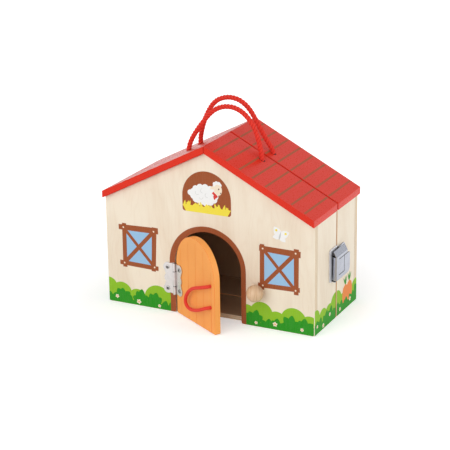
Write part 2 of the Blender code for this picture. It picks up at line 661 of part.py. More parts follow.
def latch_plate(half, reach, height):
    """A latch plate's outline on the right side, with its far corners rounded."""
    tall = height / 2
    corner = LATCH_PLATE_CORNER
    near = LATCH_SEAM_MARGIN
    far = reach - corner
    lower = arc((far, corner - tall), corner, 270, 360, 5)
    upper = arc((far, tall - corner), corner, 0, 90, 5)
    points = [(near, -tall)] + lower + upper + [(near, tall)]
    return [(from_seam(half, u), PLATE_HEIGHTS[half] + v) for u, v in points]


def add_latch_plate(name, half, reach, height, frame):
    """A latch plate with its rivet holes, seated on the side wall."""
    low = HALF_WIDTH + LEAF_SEAT
    shape = prism(latch_plate(half, reach, height), "X", low, low + LATCH_PLATE_THICKNESS)
    plate = add_piece(name, shape, "nickel", frame)
    length = 2 * (LATCH_PLATE_THICKNESS + CUTTER_OVERRUN)
    holes = [rod((low, y, z), "X", RIVET_SHANK_RADIUS + SCREW_HOLE_CLEARANCE, length, SCREW_SIDES)
             for y, z in rivet_places(half).values()]
    combine(plate, gather(holes), "DIFFERENCE")
    return plate


def add_latch_base(frame):
    """The base plate with two ears that carry the lever's pin."""
    base = add_latch_plate("latch_base", FRONT, LATCH_BASE_REACH, LATCH_BASE_TALL, frame)
    foot = HALF_WIDTH + LEAF_SEAT + LATCH_PLATE_THICKNESS / 2
    outline = arc((LEVER_AXIS.x, LEVER_AXIS.y), EAR_RADIUS, -90, 90, 8)
    outline += [(foot, LEVER_AXIS.y + EAR_RADIUS), (foot, LEVER_AXIS.y - EAR_RADIUS)]
    ears = [prism(outline, "Z", low, high) for low, high in ear_spans()]
    combine(base, gather(ears), "UNION")
    combine(base, lever_bore(), "DIFFERENCE")
    shade_round(base)


def add_latch_strike(frame):
    """The strike plate with the round lug that the lever's tongue snaps over."""
    strike = add_latch_plate("latch_strike", REAR, STRIKE_REACH, STRIKE_TALL, frame)
    top = HALF_WIDTH + COVER_STANDOFF - COVER_SHEET - LUG_GAP
    foot = HALF_WIDTH + LEAF_SEAT + LATCH_PLATE_THICKNESS / 2
    y = from_seam(REAR, LUG_FROM_SEAM)
    outline = arc((top - LUG_RADIUS, y), LUG_RADIUS, -90, 90, 8)
    outline += [(foot, y + LUG_RADIUS), (foot, y - LUG_RADIUS)]
    lug = prism(outline, "Z", LUG_HEIGHT - LUG_TALL / 2, LUG_HEIGHT + LUG_TALL / 2)
    combine(strike, lug, "UNION")
    shade_round(strike)


def cover_section():
    """The lever's sheet in section: a narrow flange at the foot, a flat face and the bevel above it."""
    face = HALF_WIDTH + COVER_STANDOFF
    inner = face - COVER_SHEET
    skirt = face - COVER_WALL_DEPTH
    slant = math.atan2(COVER_BEVEL_DEPTH, COVER_BEVEL_TALL)
    rim_x = face - COVER_BEVEL_DEPTH
    rim_z = COVER_FACE_TOP + COVER_BEVEL_TALL
    return [(skirt, COVER_FOOT), (face, COVER_FOOT), (face, COVER_FACE_TOP), (rim_x, rim_z),
            (rim_x - COVER_SHEET * math.cos(slant), rim_z - COVER_SHEET * math.sin(slant)),
            (inner, COVER_FACE_TOP - COVER_SHEET * math.tan(slant / 2)),
            (inner, COVER_FOOT + COVER_SHEET), (skirt, COVER_FOOT + COVER_SHEET)]


def cover_plan():
    """The lever seen from the side: its body, with a nose below the shoulder at its free end."""
    left = from_seam(FRONT, COVER_LEFT_REACH + CUTTER_OVERRUN)
    right = from_seam(REAR, COVER_RIGHT_REACH)
    shoulder = right - COVER_NOSE_LENGTH
    above = COVER_FACE_TOP + COVER_BEVEL_TALL + CUTTER_OVERRUN
    below = arc((right - NOSE_FOOT_RADIUS, COVER_FOOT + NOSE_FOOT_RADIUS), NOSE_FOOT_RADIUS, 270, 360, 8)
    top = arc((right - NOSE_TOP_RADIUS, TONGUE_TOP - NOSE_TOP_RADIUS), NOSE_TOP_RADIUS, 0, 90, 5)
    return [(left, COVER_FOOT)] + below + top + [(shoulder, TONGUE_TOP), (shoulder, above), (left, above)]


def add_latch_lever(frame):
    """The lever: a stamped cover with a bevel, a nose and a lanced tongue, and its pivot barrel."""
    left = from_seam(FRONT, COVER_LEFT_REACH)
    face = HALF_WIDTH + COVER_STANDOFF
    sheet = prism(cover_section(), "Y", left, from_seam(REAR, COVER_RIGHT_REACH + CUTTER_OVERRUN))
    cover = add_piece("latch_lever", sheet, "nickel", frame)
    combine(cover, prism(cover_plan(), "X", HALF_WIDTH, face + CUTTER_OVERRUN), "INTERSECT")
    wall = prism(rectangle(face - COVER_WALL_DEPTH, face - COVER_SHEET / 2, left, left + COVER_SHEET),
                 "Z", COVER_FOOT, BARREL_TOP)
    combine(cover, wall, "UNION")
    middle = (LEVER_AXIS.x, LEVER_AXIS.y, (COVER_FOOT + BARREL_TOP) / 2)
    combine(cover, rod(middle, "Z", LEVER_BARREL_RADIUS, BARREL_TOP - COVER_FOOT), "UNION")
    combine(cover, lever_bore(), "DIFFERENCE")
    combine(cover, tongue_cut(), "DIFFERENCE")
    shade_round(cover)


def lever_bore():
    """The bore for the lever's pin, through its barrel and both ears."""
    length = BARREL_TOP - COVER_FOOT + 2 * (EAR_GAP + EAR_THICKNESS + CUTTER_OVERRUN)
    middle = (LEVER_AXIS.x, LEVER_AXIS.y, (COVER_FOOT + BARREL_TOP) / 2)
    return rod(middle, "Z", PIN_RADIUS + PIN_CLEARANCE, length)


def ear_spans():
    """The lengths of the lever's axis that the base's two ears take."""
    low = COVER_FOOT - EAR_GAP
    high = BARREL_TOP + EAR_GAP
    return [(low - EAR_THICKNESS, low), (high, high + EAR_THICKNESS)]


def tongue_cut():
    """The cut that frees the lever's spring tongue. Its upper line runs on to the shoulder over the nose."""
    end = from_seam(REAR, TONGUE_END_FROM_SEAM)
    root = end - TONGUE_LENGTH
    shoulder = from_seam(REAR, COVER_RIGHT_REACH - COVER_NOSE_LENGTH) + CUTTER_OVERRUN
    line = end - TONGUE_CUT
    low = TONGUE_FOOT + TONGUE_CUT
    plan = [(root, TONGUE_FOOT), (end, TONGUE_FOOT), (end, TONGUE_TOP), (shoulder, TONGUE_TOP),
            (shoulder, TONGUE_TOP + TONGUE_CUT), (root, TONGUE_TOP + TONGUE_CUT), (root, TONGUE_TOP),
            (line, TONGUE_TOP), (line, low), (root, low)]
    face = HALF_WIDTH + COVER_STANDOFF
    return prism(plan, "X", face - 2 * COVER_SHEET, face + CUTTER_OVERRUN)


def add_lever_pin(frame):
    """The lever's pivot pin: a small head under the lower ear, its far end flush with the upper one."""
    (lower, _), (_, upper) = ear_spans()
    seat = lower - METAL_SEAT
    profile = [(0, -PIN_HEAD_HEIGHT), (PIN_HEAD_RADIUS, -PIN_HEAD_HEIGHT), (PIN_HEAD_RADIUS, 0),
               (PIN_RADIUS, 0), (PIN_RADIUS, upper - seat), (0, upper - seat)]
    place = (LEVER_AXIS.x, LEVER_AXIS.y, seat)
    pin = add_piece("latch_lever_pin", turned(profile, ROUND_SIDES, place, (0, 0, 1)), "nickel", frame)
    shade_round(pin)


def add_rivets(name, half, frame):
    """The two round-head rivets of a latch plate."""
    shank = RIVET_SHANK_RADIUS
    profile = [(0, -RIVET_LENGTH), (shank, -RIVET_LENGTH), (shank, 0)]
    profile += [(RIVET_HEAD_RADIUS * radius, RIVET_HEAD_HEIGHT * height) for radius, height in DOME_SHARES]
    seat = HALF_WIDTH + LEAF_SEAT + LATCH_PLATE_THICKNESS + METAL_SEAT
    for level, (y, z) in rivet_places(half).items():
        shape = turned(profile, SCREW_SIDES, (seat, y, z), (1, 0, 0))
        shade_round(add_piece(f"{name}_{level}", shape, "nickel", frame))


def smooth_route(points, pieces):
    """Points on a smooth curve through a cord's own points."""
    ends = [points[0] * 2 - points[1]] + points + [points[-1] * 2 - points[-2]]
    route = []
    for before, start, end, after in zip(ends, ends[1:], ends[2:], ends[3:]):
        for step in range(pieces):
            t = step / pieces
            bend = (before * -1 + start * 3 - end * 3 + after) * t ** 3
            bend += (before * 2 - start * 5 + end * 4 - after) * t ** 2
            route.append((start * 2 + (end - before) * t + bend) / 2)
    route.append(points[-1])
    return route


def add_cord(name, points, pieces, radius, frame):
    """A round cord along a route: one curve with a round section and filled ends."""
    curve = bpy.data.curves.new(name, "CURVE")
    curve.dimensions = "3D"
    curve.bevel_depth = radius
    curve.bevel_resolution = 2
    curve.use_fill_caps = True
    route = smooth_route([Vector(point) * MM for point in points], pieces)
    spline = curve.splines.new("POLY")
    spline.points.add(len(route) - 1)
    for target, place in zip(spline.points, route):
        target.co = (*(place - frame.location), 1)
    curve.materials.append(finish("red_cord"))
    cord = bpy.data.objects.new(name, curve)
    cord.parent = frame
    bpy.context.scene.collection.objects.link(cord)


# The front rope's route in millimetres, from its left knot to its right one. Y counts from the seam.
FRONT_ROPE = [
    (-49, -15.6, 182.6), (-49, -15.6, 188.5), (-48.9, -15.6, 194.5), (-47.3, -15.4, 202), (-43.2, -15.1, 211),
    (-36.2, -14.5, 222), (-28.6, -13.9, 232.2), (-21.4, -13.4, 241), (-13.4, -13, 247.6), (-5, -12.7, 251.4),
    (3.8, -12.6, 252.9), (13, -12.7, 252), (22.2, -13, 248.2), (30.6, -13.4, 241.4), (38.2, -13.9, 231.6),
    (43.6, -14.5, 219), (47.2, -15.1, 206), (48.9, -15.5, 196.5), (49, -15.6, 188.5), (49, -15.6, 182.6),
]
# The rear rope's route. It stands a little higher and leans towards the front.
REAR_ROPE = [
    (-49, 15.6, 182.6), (-49, 15.6, 188.5), (-48.9, 15.5, 195), (-47.6, 14.1, 204.5), (-44.2, 12.3, 216),
    (-39.2, 10.5, 228.3), (-33.2, 8.9, 239.4), (-26.4, 7.5, 248.7), (-17.4, 6.6, 255.6), (-5, 6.1, 259.2),
    (7.4, 6.1, 257.8), (16.6, 6.6, 252.6), (23.4, 7.5, 245.2), (28.6, 8.9, 236), (34.8, 10.5, 224),
    (41.6, 12.3, 211), (46.8, 14.3, 201.5), (48.9, 15.5, 195.8), (49, 15.6, 189), (49, 15.6, 182.6),
]
# The elastic loop: distance from the door's hinge axis, stand-off from the door's face, and height.
DOOR_LOOP = [
    (79.5, -3.9, 60.1), (79.5, 0, 60.1), (79, 3.2, 60), (76.4, 5.9, 59.2), (71, 7.1, 57.3), (64.5, 7.2, 55),
    (58, 7, 52.6), (51.5, 6.7, 49.8), (45, 6.3, 46.2), (39, 6, 41.5), (34.4, 5.9, 36.2), (31.6, 5.8, 30.4),
    (31.3, 5.8, 25.8), (34, 5.9, 22), (39.2, 6, 20.3), (46, 6.3, 20.6), (53, 6.7, 22.4), (60.5, 7.1, 25),
    (68, 7.3, 28.2), (74.5, 6.4, 31.4), (78.4, 3.9, 33), (79.5, 0.4, 33.1), (79.5, -3.9, 33.1),
]


def add_ropes(name, half, points, frame):
    """A rope handle and the stopper knots under the roof boards."""
    in_house = [(x, y + SEAM_Y / MM, z) for x, y, z in points]
    add_cord(f"{name}_rope", in_house, 2, ROPE_RADIUS, frame)
    drop = (KNOT_HEIGHT / 2 + JOINT_GAP) / math.cos(ROOF_SLOPE)
    for side, hand in (("left", -1), ("right", 1)):
        place = (hand * ROPE_HOLE_FROM_RIDGE, from_seam(half, ROPE_HOLE_FROM_SEAM),
                 roof_underside(ROPE_HOLE_FROM_RIDGE) - drop - KNOT_RADIUS * math.tan(ROOF_SLOPE) / 2)
        knot = add_piece(f"{name}_rope_knot_{side}", knot_shape(place), "red_cord", frame)
        shade_round(knot)


def knot_shape(place):
    """A round stopper knot, drawn in at its waist, with a flat for the rope at the top."""
    tall = KNOT_HEIGHT / 2
    profile = [(KNOT_RADIUS * radius, tall * height) for radius, height in KNOT_SHARES]
    return turned(profile, ROUND_SIDES, place, (0, 0, 1))


def add_door_loop(frame):
    """The red elastic loop, its ends in the door's two blind holes."""
    face = FRONT_Y / MM
    axis = DOOR_AXIS.x / MM
    points = [(axis + along, face - off, height) for along, off, height in DOOR_LOOP]
    add_cord("door_loop", points, 2, LOOP_RADIUS, frame)


def build():
    """The whole house: the front half, the rear half, the door and the latch lever."""
    clear_scene()
    front = add_frame("front_half_frame", (0, 0, 0))
    rear = add_frame("rear_half_frame", HOUSE_AXIS)
    door = add_frame("door_frame", DOOR_AXIS)
    lever = add_frame("latch_lever_frame", LEVER_AXIS)
    add_front_wall(front)
    add_side_wall("front_left_side", FRONT, -1, front, house_hinge_holes(FRONT))
    add_side_wall("front_right_side", FRONT, 1, front, rivet_holes(FRONT))
    add_floor("front_floor", FRONT, front)
    add_roof_board("front_roof_left", FRONT, -1, front)
    add_roof_board("front_roof_right", FRONT, 1, front)
    add_rear_wall(rear)
    add_side_wall("rear_left_side", REAR, -1, rear, house_hinge_holes(REAR))
    add_side_wall("rear_right_side", REAR, 1, rear, rivet_holes(REAR))
    add_floor("rear_floor", REAR, rear)
    add_roof_board("rear_roof_left", REAR, -1, rear)
    add_roof_board("rear_roof_right", REAR, 1, rear)
    add_knob(front)
    add_door(door)
    add_door_hinge(front, door)
    add_house_hinges(front, rear)
    add_latch_base(front)
    add_latch_strike(rear)
    add_latch_lever(lever)
    add_lever_pin(front)
    add_rivets("latch_base_rivet", FRONT, front)
    add_rivets("latch_strike_rivet", REAR, rear)
    add_ropes("front", FRONT, FRONT_ROPE, front)
    add_ropes("rear", REAR, REAR_ROPE, rear)
    add_door_loop(door)
    door.rotation_euler.z = -math.radians(DOOR_OPEN_ANGLE)


build()
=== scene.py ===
"""Looks of the carry-along toy farm house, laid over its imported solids.

Metres, +Z up, front towards -Y. Boards and sheet metal are the solids with softened edges, prints are thin
layers of ink on the boards, ropes are twisted strands, and Geometry Nodes set the screws, rivets, roof
stripes, flowers and nail dots in their places.
"""
import json
import math
import random

import bmesh
import bpy
from mathutils import Euler, Matrix, Vector, geometry


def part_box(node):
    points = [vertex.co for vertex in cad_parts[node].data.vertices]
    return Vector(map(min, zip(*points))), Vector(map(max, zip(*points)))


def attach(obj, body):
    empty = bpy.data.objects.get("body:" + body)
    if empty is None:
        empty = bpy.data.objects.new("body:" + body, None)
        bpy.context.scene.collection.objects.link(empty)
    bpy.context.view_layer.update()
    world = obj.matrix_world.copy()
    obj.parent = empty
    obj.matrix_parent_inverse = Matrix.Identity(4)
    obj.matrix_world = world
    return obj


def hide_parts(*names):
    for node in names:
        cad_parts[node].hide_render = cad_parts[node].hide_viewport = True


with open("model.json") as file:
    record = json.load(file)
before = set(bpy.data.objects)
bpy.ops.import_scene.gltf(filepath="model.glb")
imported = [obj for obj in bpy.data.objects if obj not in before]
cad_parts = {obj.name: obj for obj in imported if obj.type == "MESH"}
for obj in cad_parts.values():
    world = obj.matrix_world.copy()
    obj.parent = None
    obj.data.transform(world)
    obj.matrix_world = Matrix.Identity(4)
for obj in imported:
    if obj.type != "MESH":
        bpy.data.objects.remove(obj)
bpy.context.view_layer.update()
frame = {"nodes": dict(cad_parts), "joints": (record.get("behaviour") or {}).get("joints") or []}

MM = 0.001

# Places read from the frame
joint_places = {joint["name"]: Vector(joint["pos_m"]) for joint in frame["joints"]}
SEAM_Y = joint_places["house_hinge"].y
DOOR_AXIS = joint_places["door_hinge"]
LATCH_HEIGHT = (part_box("latch_base")[0].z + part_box("latch_base")[1].z) / 2
FRONT_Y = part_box("front_wall")[0].y
FRONT_INNER_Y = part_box("front_wall")[1].y
REAR_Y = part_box("rear_wall")[1].y
HALF_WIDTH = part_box("front_wall")[1].x
BOARD = FRONT_INNER_Y - FRONT_Y
FLOOR_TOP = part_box("front_floor")[1].z
SEAM_HALF_GAP = SEAM_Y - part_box("front_floor")[1].y

# Camera, as the photograph was taken
CAMERA_LENS = 119.95
CAMERA_SENSOR = 36
CAMERA_AZIMUTH = 26.762
CAMERA_ELEVATION = 19.052
CAMERA_ROLL = -0.844
CAMERA_DISTANCE = 1852.94 * MM
CAMERA_REACH = 100
CAMERA_TARGET = Vector((-9.143 * MM, SEAM_Y, 97.745 * MM))

# House
ROOF_SLOPE = math.atan2(72.2, 140)
ROOF_UNDERSIDE_RIDGE = 209.7 * MM
ROOF_BOARD = 8 * MM
EDGE_RADIUS = 0.7 * MM
# Where the print on a side board starts and ends, counted from the seam
SIDE_NEAR = SEAM_HALF_GAP + EDGE_RADIUS
SIDE_FAR = SEAM_Y - FRONT_Y - EDGE_RADIUS
PRINTED_FOOT_RADIUS = 1.8 * MM
DOORWAY_RADIUS = 44.5 * MM
DOORWAY_SPRING = 66 * MM
DOOR_OPEN_ANGLE = 31
BALL_SIDES = 64
BALL_FACETS = 30
# Edges sharper than these angles stay sharp, in degrees
CREASE = 38
HEAD_CREASE = 32
BALL_CREASE = 40

# Prints
INK = 0.05 * MM
INK_ROOT = 0.02 * MM
BORDER_OVERLAP = 0.15 * MM
BORDER_OUTER_RADIUS = 51.4 * MM
BORDER_FROM_CENTRE = -0.5 * MM
WINDOW_LEFT = Vector((-94.5 * MM, 77.6 * MM))
WINDOW_RIGHT = Vector((94.4 * MM, 77.8 * MM))
WINDOW_HALF_WIDTH = 21.2 * MM
WINDOW_HALF_HEIGHT = 23.2 * MM
WINDOW_BAR = 5.8 * MM
WINDOW_TOP_BAR = 6.8 * MM
WINDOW_OVERRUN = 5.4 * MM
WINDOW_WIDE_BRACE = 5.0 * MM
WINDOW_THIN_BRACE = 4.2 * MM
NAIL_DOT_RADIUS = 1.1 * MM
LOFT_HALF_WIDTH = 32.4 * MM
LOFT_SPRING = 153 * MM
LOFT_RISE = 33.4 * MM
LOFT_SILL = 134.2 * MM
LOFT_CORNER = 3.4 * MM
LOFT_STRAW_FOOT = 8 * MM
# The loft's blades of straw, and the share of its width that they fill
STRAW_COUNT = 23
STRAW_SPAN = 0.93
# The resting lamb's middle, and the butterfly's
LAMB_X = -3 * MM
LAMB_Z = 157 * MM
BUTTERFLY = Vector((95.5 * MM, 119.5 * MM))
BUTTERFLY_TILT = 14
HEDGE_TOP = 17 * MM
HEDGE_FIELD_TOP = 60 * MM
TUFT_SPACING = 16.5 * MM
TUFT_LEAF = 14.5 * MM
TUFT_LEANS = (-70, -30, 10, 50)
# Shares of the hedge's height: its pale strip, its dark strip, and the roots that a tuft picks from
PALE_STRIP_SHARE = 0.6
DARK_STRIP_SHARE = 0.36
ROOT_SHARES = (-0.2, 0.0, 0.15, 0.35)
SIDE_ROOT_SHARES = (0.1, 0.3, 0.5)
# Shares of a tuft's leaf: the tuft's core and the strip that fills under it, and the leaf's width
TUFT_CORE_SHARE = 0.55
TUFT_REACH_SHARE = 0.8
TUFT_WIDTH_SHARE = 0.66
STRIPE_WIDTH = 2.7 * MM
STRIPE_NEAR = 2.5 * MM
STRIPE_FAR = 69 * MM
STRIPE_FIRST = 13.6 * MM
STRIPE_SPACING = 18.65 * MM
STRIPE_COUNT = 8

# Screws and rivets
SCREW_FROM_AXIS = 9.8 * MM
SCREW_SPACING = 27.4 * MM
SCREW_RADIUS = 2.7 * MM
SCREW_RISE = 0.75 * MM
SCREW_RECESS = 0.5 * MM
SCREW_DEPTH = 4 * MM
SCREW_SKIRT = SCREW_RADIUS * 0.96
HEAD_SEAT = 0.1 * MM
SCREW_CROSS_LENGTH = 3.4 * MM
SCREW_CROSS_WIDTH = 0.9 * MM
SCREW_SIDES = 40
HEAD_FACETS = 10
SHANK_RADIUS = 1 * MM
HINGE_SEAT = 1.3 * MM
DOOR_HINGE_HEIGHT = 44.8 * MM
HOUSE_HINGE_HEIGHTS = (36 * MM, 104 * MM)
LATCH_PLATE_FACE = 1.5 * MM
RIVET_SPACING = 25 * MM
RIVET_RADIUS = 2.2 * MM
RIVET_SKIRT = 2.1 * MM
RIVET_RISE = 0.8 * MM
RIVET_DEPTH = 3 * MM
RIVET_SIDES = 32
SHEET_RIM = 0.18 * MM
BASE_RIVET_FROM_SEAM = 8 * MM
STRIKE_RIVET_FROM_SEAM = 5.5 * MM

# Where the finishes take painted shade: inside the latch's cover, off its plate, in the ropes' holes and
# between the knuckles of the door's hinge; and where the door's plank lines take a deeper colour
COVER_SKIN = 1.2 * MM
COVER_RIM = 2 * MM
COVER_NOSE = 8.5 * MM
OFF_PLATE = 0.2 * MM
HOLE_REACH_ACROSS = 6 * MM
HOLE_REACH_ALONG = 5 * MM
GROOVE_DEPTHS = (0.1 * MM, 0.6 * MM)
KNUCKLE_REACH = 2.6 * MM
KNUCKLE_SPAN = 15 * MM

# Cords
ROPE_RADIUS = 3.2 * MM
ROPE_PITCH = 13 * MM
STRAND_SHARE = 0.515
STRAND_COUNT = 3
LOOP_RADIUS = 2.15 * MM
KNOT_CURL = 4.3 * MM
# Shares of the knot's curl: how far its middle hangs, how high its lobes rise, and how its end leaves
KNOT_DROP_SHARE = 1.45
KNOT_LOBE_SHARE = 0.62
KNOT_END_SHARES = (0.5, 0, -1.1)
KNOT_STEPS = 14
KNOT_SQUEEZE_SHARE = 0.93
STRAND_SIDES = 14
LOOP_SIDES = 20
CORD_SPACING = 0.8 * MM
ROUTE_STEPS = 24
ROPE_FROM_RIDGE = 49 * MM
ROPE_FROM_SEAM = 15.6 * MM
# Painted shade printed beside each rope's foot, on the lower side of its hole: its length, width and offset
# downslope
HOLE_SHADE_LENGTH = 4.1 * MM
HOLE_SHADE_WIDTH = 3.2 * MM
HOLE_SHADE_OFFSET = 0.8 * MM

# Colours of the finishes, linear, and the tints that they take in places
BIRCH_PALE = (0.92, 0.815, 0.655, 1)
BIRCH_DARK = (0.76, 0.59, 0.42, 1)
# Painted shade that browns the boards' inner faces
INNER_SHADE_TINT = (0.57, 0.44, 0.34, 1)
# Painted shade that browns the faces beside the gap at the seam
SEAM_SHADE_TINT = (0.95, 0.62, 0.36, 1)
ROOF_RED = (0.775, 0.036, 0.016, 1)
DOOR_ORANGE = (0.98, 0.405, 0.10, 1)
GROOVE_ORANGE = (0.90, 0.15, 0.03, 1)
LACQUER_TINT = (0.90, 0.86, 0.84, 1)
SMUDGE_TINT = (0.84, 0.84, 0.86, 1)
END_GRAIN_DARK = (0.66, 0.46, 0.28, 1)
END_GRAIN_PALE = (0.84, 0.68, 0.48, 1)
LONG_GRAIN = (0.80, 0.64, 0.44, 1)
GLUE_LINE = (0.34, 0.20, 0.10, 1)
# Painted shade inside the ropes' holes
HOLE_SHADE_COLOUR = (0.05, 0.008, 0.006, 1)
CORD_RED = (0.90, 0.052, 0.031, 1)
LOOP_RED = (0.86, 0.064, 0.038, 1)
# Painted shade in the grooves between a cord's strands and between its yarns
CORD_SHADE = (0.36, 0.008, 0.006, 1)
BALL_PALE = (0.84, 0.59, 0.375, 1)
BALL_DARK = (0.50, 0.30, 0.15, 1)
NICKEL = (0.66, 0.63, 0.61, 1)
CHROME = (0.42, 0.44, 0.50, 1)
# Painted light: a lighter, duller copy of the latch's plating for its base plate, whose rounded rim catches
# the light
LIGHTENED_PLATING = (0.68, 0.68, 0.71, 1)
# Painted shade: the near-black that metal takes in its recesses and gaps
METAL_SHADE = (0.02, 0.018, 0.016, 1)
INKS = {
    "trim_ink": (0.345, 0.088, 0.028, 1),
    "stripe_ink": (0.42, 0.105, 0.045, 1),
    # Painted shade printed at the ropes' holes
    "hole_shade_ink": HOLE_SHADE_COLOUR,
    "pale_leaf_ink": (0.275, 0.54, 0.024, 1),
    "dark_leaf_ink": (0.022, 0.30, 0.013, 1),
    "pane_ink": (0.335, 0.56, 0.80, 1),
    "straw_ink": (0.93, 0.77, 0.07, 1),
    "wool_ink": (0.93, 0.93, 0.92, 1),
    "grey_ink": (0.62, 0.62, 0.60, 1),
    "eye_ink": (0.10, 0.045, 0.03, 1),
    "scarf_ink": (0.72, 0.05, 0.04, 1),
    "petal_ink": (0.93, 0.80, 0.62, 1),
    "core_ink": (0.90, 0.36, 0.06, 1),
    "carrot_ink": (0.88, 0.27, 0.07, 1),
}
# What shows through a thin ink, where that isn't the bare wood
UNDER_INKS = {"stripe_ink": ROOF_RED, "hole_shade_ink": HOLE_SHADE_COLOUR}

# How deep the fine relief of each finish is
BIRCH_RELIEF = 0.04 * MM
PAINT_RELIEF = 0.0012 * MM
INK_RELIEF = 0.015 * MM
METAL_RELIEF = 0.004 * MM
ROPE_RELIEF = 0.15 * MM
LOOP_RELIEF = 0.12 * MM
BALL_RELIEF = 0.03 * MM

# Surroundings. What is seen directly is white, and AMBIENT is the light that they throw on a surface.
AMBIENT = 0.50
FLOOR_SIZE = 24
# The floor's own white light grows from one strength to another between two distances from the house
FLOOR_NEAR = 0.17
FLOOR_FAR = 0.42
FLOOR_LIFT_NEAR = 0.40
FLOOR_LIFT_FAR = 0.75
LAMP_AIM = Vector((0, 0, 0.1))
# Each lamp's name, place, size and power
LAMPS = [
    ("key", (-0.60, -2.80, 1.40), 4.2, 59.5),
    ("fill", (2.67, 0.14, 0.84), 1.9, 24),
]


def spaced(values):
    """Values by name, with a space for each underscore in a name."""
    return {name.replace("_", " "): value for name, value in values.items()}


class Tree:
    """A node tree with short calls that make a node and feed its inputs."""

    def __init__(self, tree):
        self.tree = tree

    def add(self, kind, inputs=None, **settings):
        """A new node, with its settings and its inputs by name or number."""
        node = self.tree.nodes.new(kind)
        for name, value in settings.items():
            setattr(node, name, value)
        for key, value in (inputs or {}).items():
            self.feed(node.inputs[key], value)
        return node

    def feed(self, socket, value):
        """Links an output to a socket, or sets the socket's own value."""
        if isinstance(value, bpy.types.NodeSocket):
            self.tree.links.new(value, socket)
        else:
            socket.default_value = value

    def math(self, operation, *values):
        """The result of a Math node."""
        return self.add("ShaderNodeMath", dict(enumerate(values)), operation=operation).outputs[0]

    def mix(self, share, first, second, blend="MIX"):
        """Two colours mixed by a share."""
        node = self.add("ShaderNodeMix", {0: share, 6: first, 7: second}, data_type="RGBA", blend_type=blend)
        return node.outputs[2]

    def spread(self, value, from_low, from_high, to_low, to_high):
        """A value carried from one range to another, and held inside it."""
        node = self.add("ShaderNodeMapRange", {0: value, 1: from_low, 2: from_high, 3: to_low, 4: to_high})
        return node.outputs[0]

    def scaled(self, vector, factors):
        """A vector times three factors."""
        return self.add("ShaderNodeVectorMath", {0: vector, 1: factors}, operation="MULTIPLY").outputs[0]

    def noise(self, vector, scale, detail=2, roughness=0.5):
        """A noise value from 0 to 1."""
        inputs = {"Vector": vector, "Scale": scale, "Detail": detail, "Roughness": roughness}
        return self.add("ShaderNodeTexNoise", inputs).outputs[0]

    def weighted(self, *pairs):
        """The sum of values times their weights."""
        total = 0
        for value, weight in pairs:
            total = self.math("MULTIPLY_ADD", value, weight, total)
        return total

    def tinted(self, colour, tint):
        """A colour times a tint."""
        return self.mix(1.0, colour, tint, "MULTIPLY")

    def parts(self, vector):
        """A vector's three numbers."""
        return self.add("ShaderNodeSeparateXYZ", {0: vector}).outputs

    def place(self, kind="Object"):
        """The Object coordinates, or the piece's own UV map."""
        return self.add("ShaderNodeTexCoord").outputs[kind]

    def mark(self, name):
        """A number that the piece's mesh carries."""
        return self.add("ShaderNodeAttribute", attribute_name=name).outputs["Fac"]

    def group(self, name, **inputs):
        """What a shared group puts out, by name."""
        return dict(self.add("ShaderNodeGroup", spaced(inputs), node_tree=groups[name]).outputs.items())


groups = {}
finishes = {}


def new_group(build, **inputs):
    """A shared node group, named after the function that fills it, with a vector and other named inputs."""
    name = build.__name__
    group = groups[name] = bpy.data.node_groups.new(name, "ShaderNodeTree")
    group.interface.new_socket("Vector", in_out="INPUT", socket_type="NodeSocketVector")
    for label, value in spaced(inputs).items():
        kind = "NodeSocketColor" if isinstance(value, tuple) else "NodeSocketFloat"
        socket = group.interface.new_socket(label, in_out="INPUT", socket_type=kind)
        socket.default_value = value
    tree = Tree(group)
    results = build(tree, tree.add("NodeGroupInput").outputs)
    for label in results:
        kind = "NodeSocketColor" if label == "Color" else "NodeSocketFloat"
        group.interface.new_socket(label, in_out="OUTPUT", socket_type=kind)
    tree.add("NodeGroupOutput", results)


def wood_grain(tree, given):
    """Grain of sliced wood that runs along Z: rings, fibres, short flecks and soft patches."""
    place = given["Vector"]
    drift = tree.noise(tree.scaled(place, (1, 1, 0.22)), 20, 3, 0.6)
    x, y, _ = tree.parts(place)
    across = tree.weighted((x, 1), (y, 1.7), (drift, 0.12))
    turns = tree.math("MULTIPLY", tree.math("DIVIDE", across, given["Ring Width"]), 2 * math.pi)
    ring = tree.math("POWER", tree.spread(tree.math("SINE", turns), -1, 1, 0, 1), 3)
    fibre = tree.noise(tree.scaled(place, (1, 1, 0.03)), 1500, 2)
    fleck = tree.spread(tree.noise(tree.scaled(place, (1, 1, 0.09)), 1100, 1), 0.64, 0.74, 0, 1)
    leaning = {"Vector": place, "Rotation": (0, math.radians(-9), 0), "Scale": (1, 1, 4)}
    figure = tree.noise(tree.add("ShaderNodeMapping", leaning, vector_type="TEXTURE").outputs[0], 36, 4)
    patch = tree.spread(figure, 0.36, 0.64, -0.3, 0.58)
    tone = tree.weighted((ring, given["Ring Share"]), (fibre, 0.16), (fleck, 0.3), (patch, 1))
    tone = tree.add("ShaderNodeClamp", {0: tree.math("MULTIPLY", tone, given["Contrast"])}).outputs[0]
    return {"Color": tree.mix(tone, given["Pale"], given["Dark"]),
            "Roughness": tree.spread(fibre, 0.3, 0.7, 0.4, 0.52),
            "Height": tree.weighted((fibre, 1), (fleck, -0.6))}


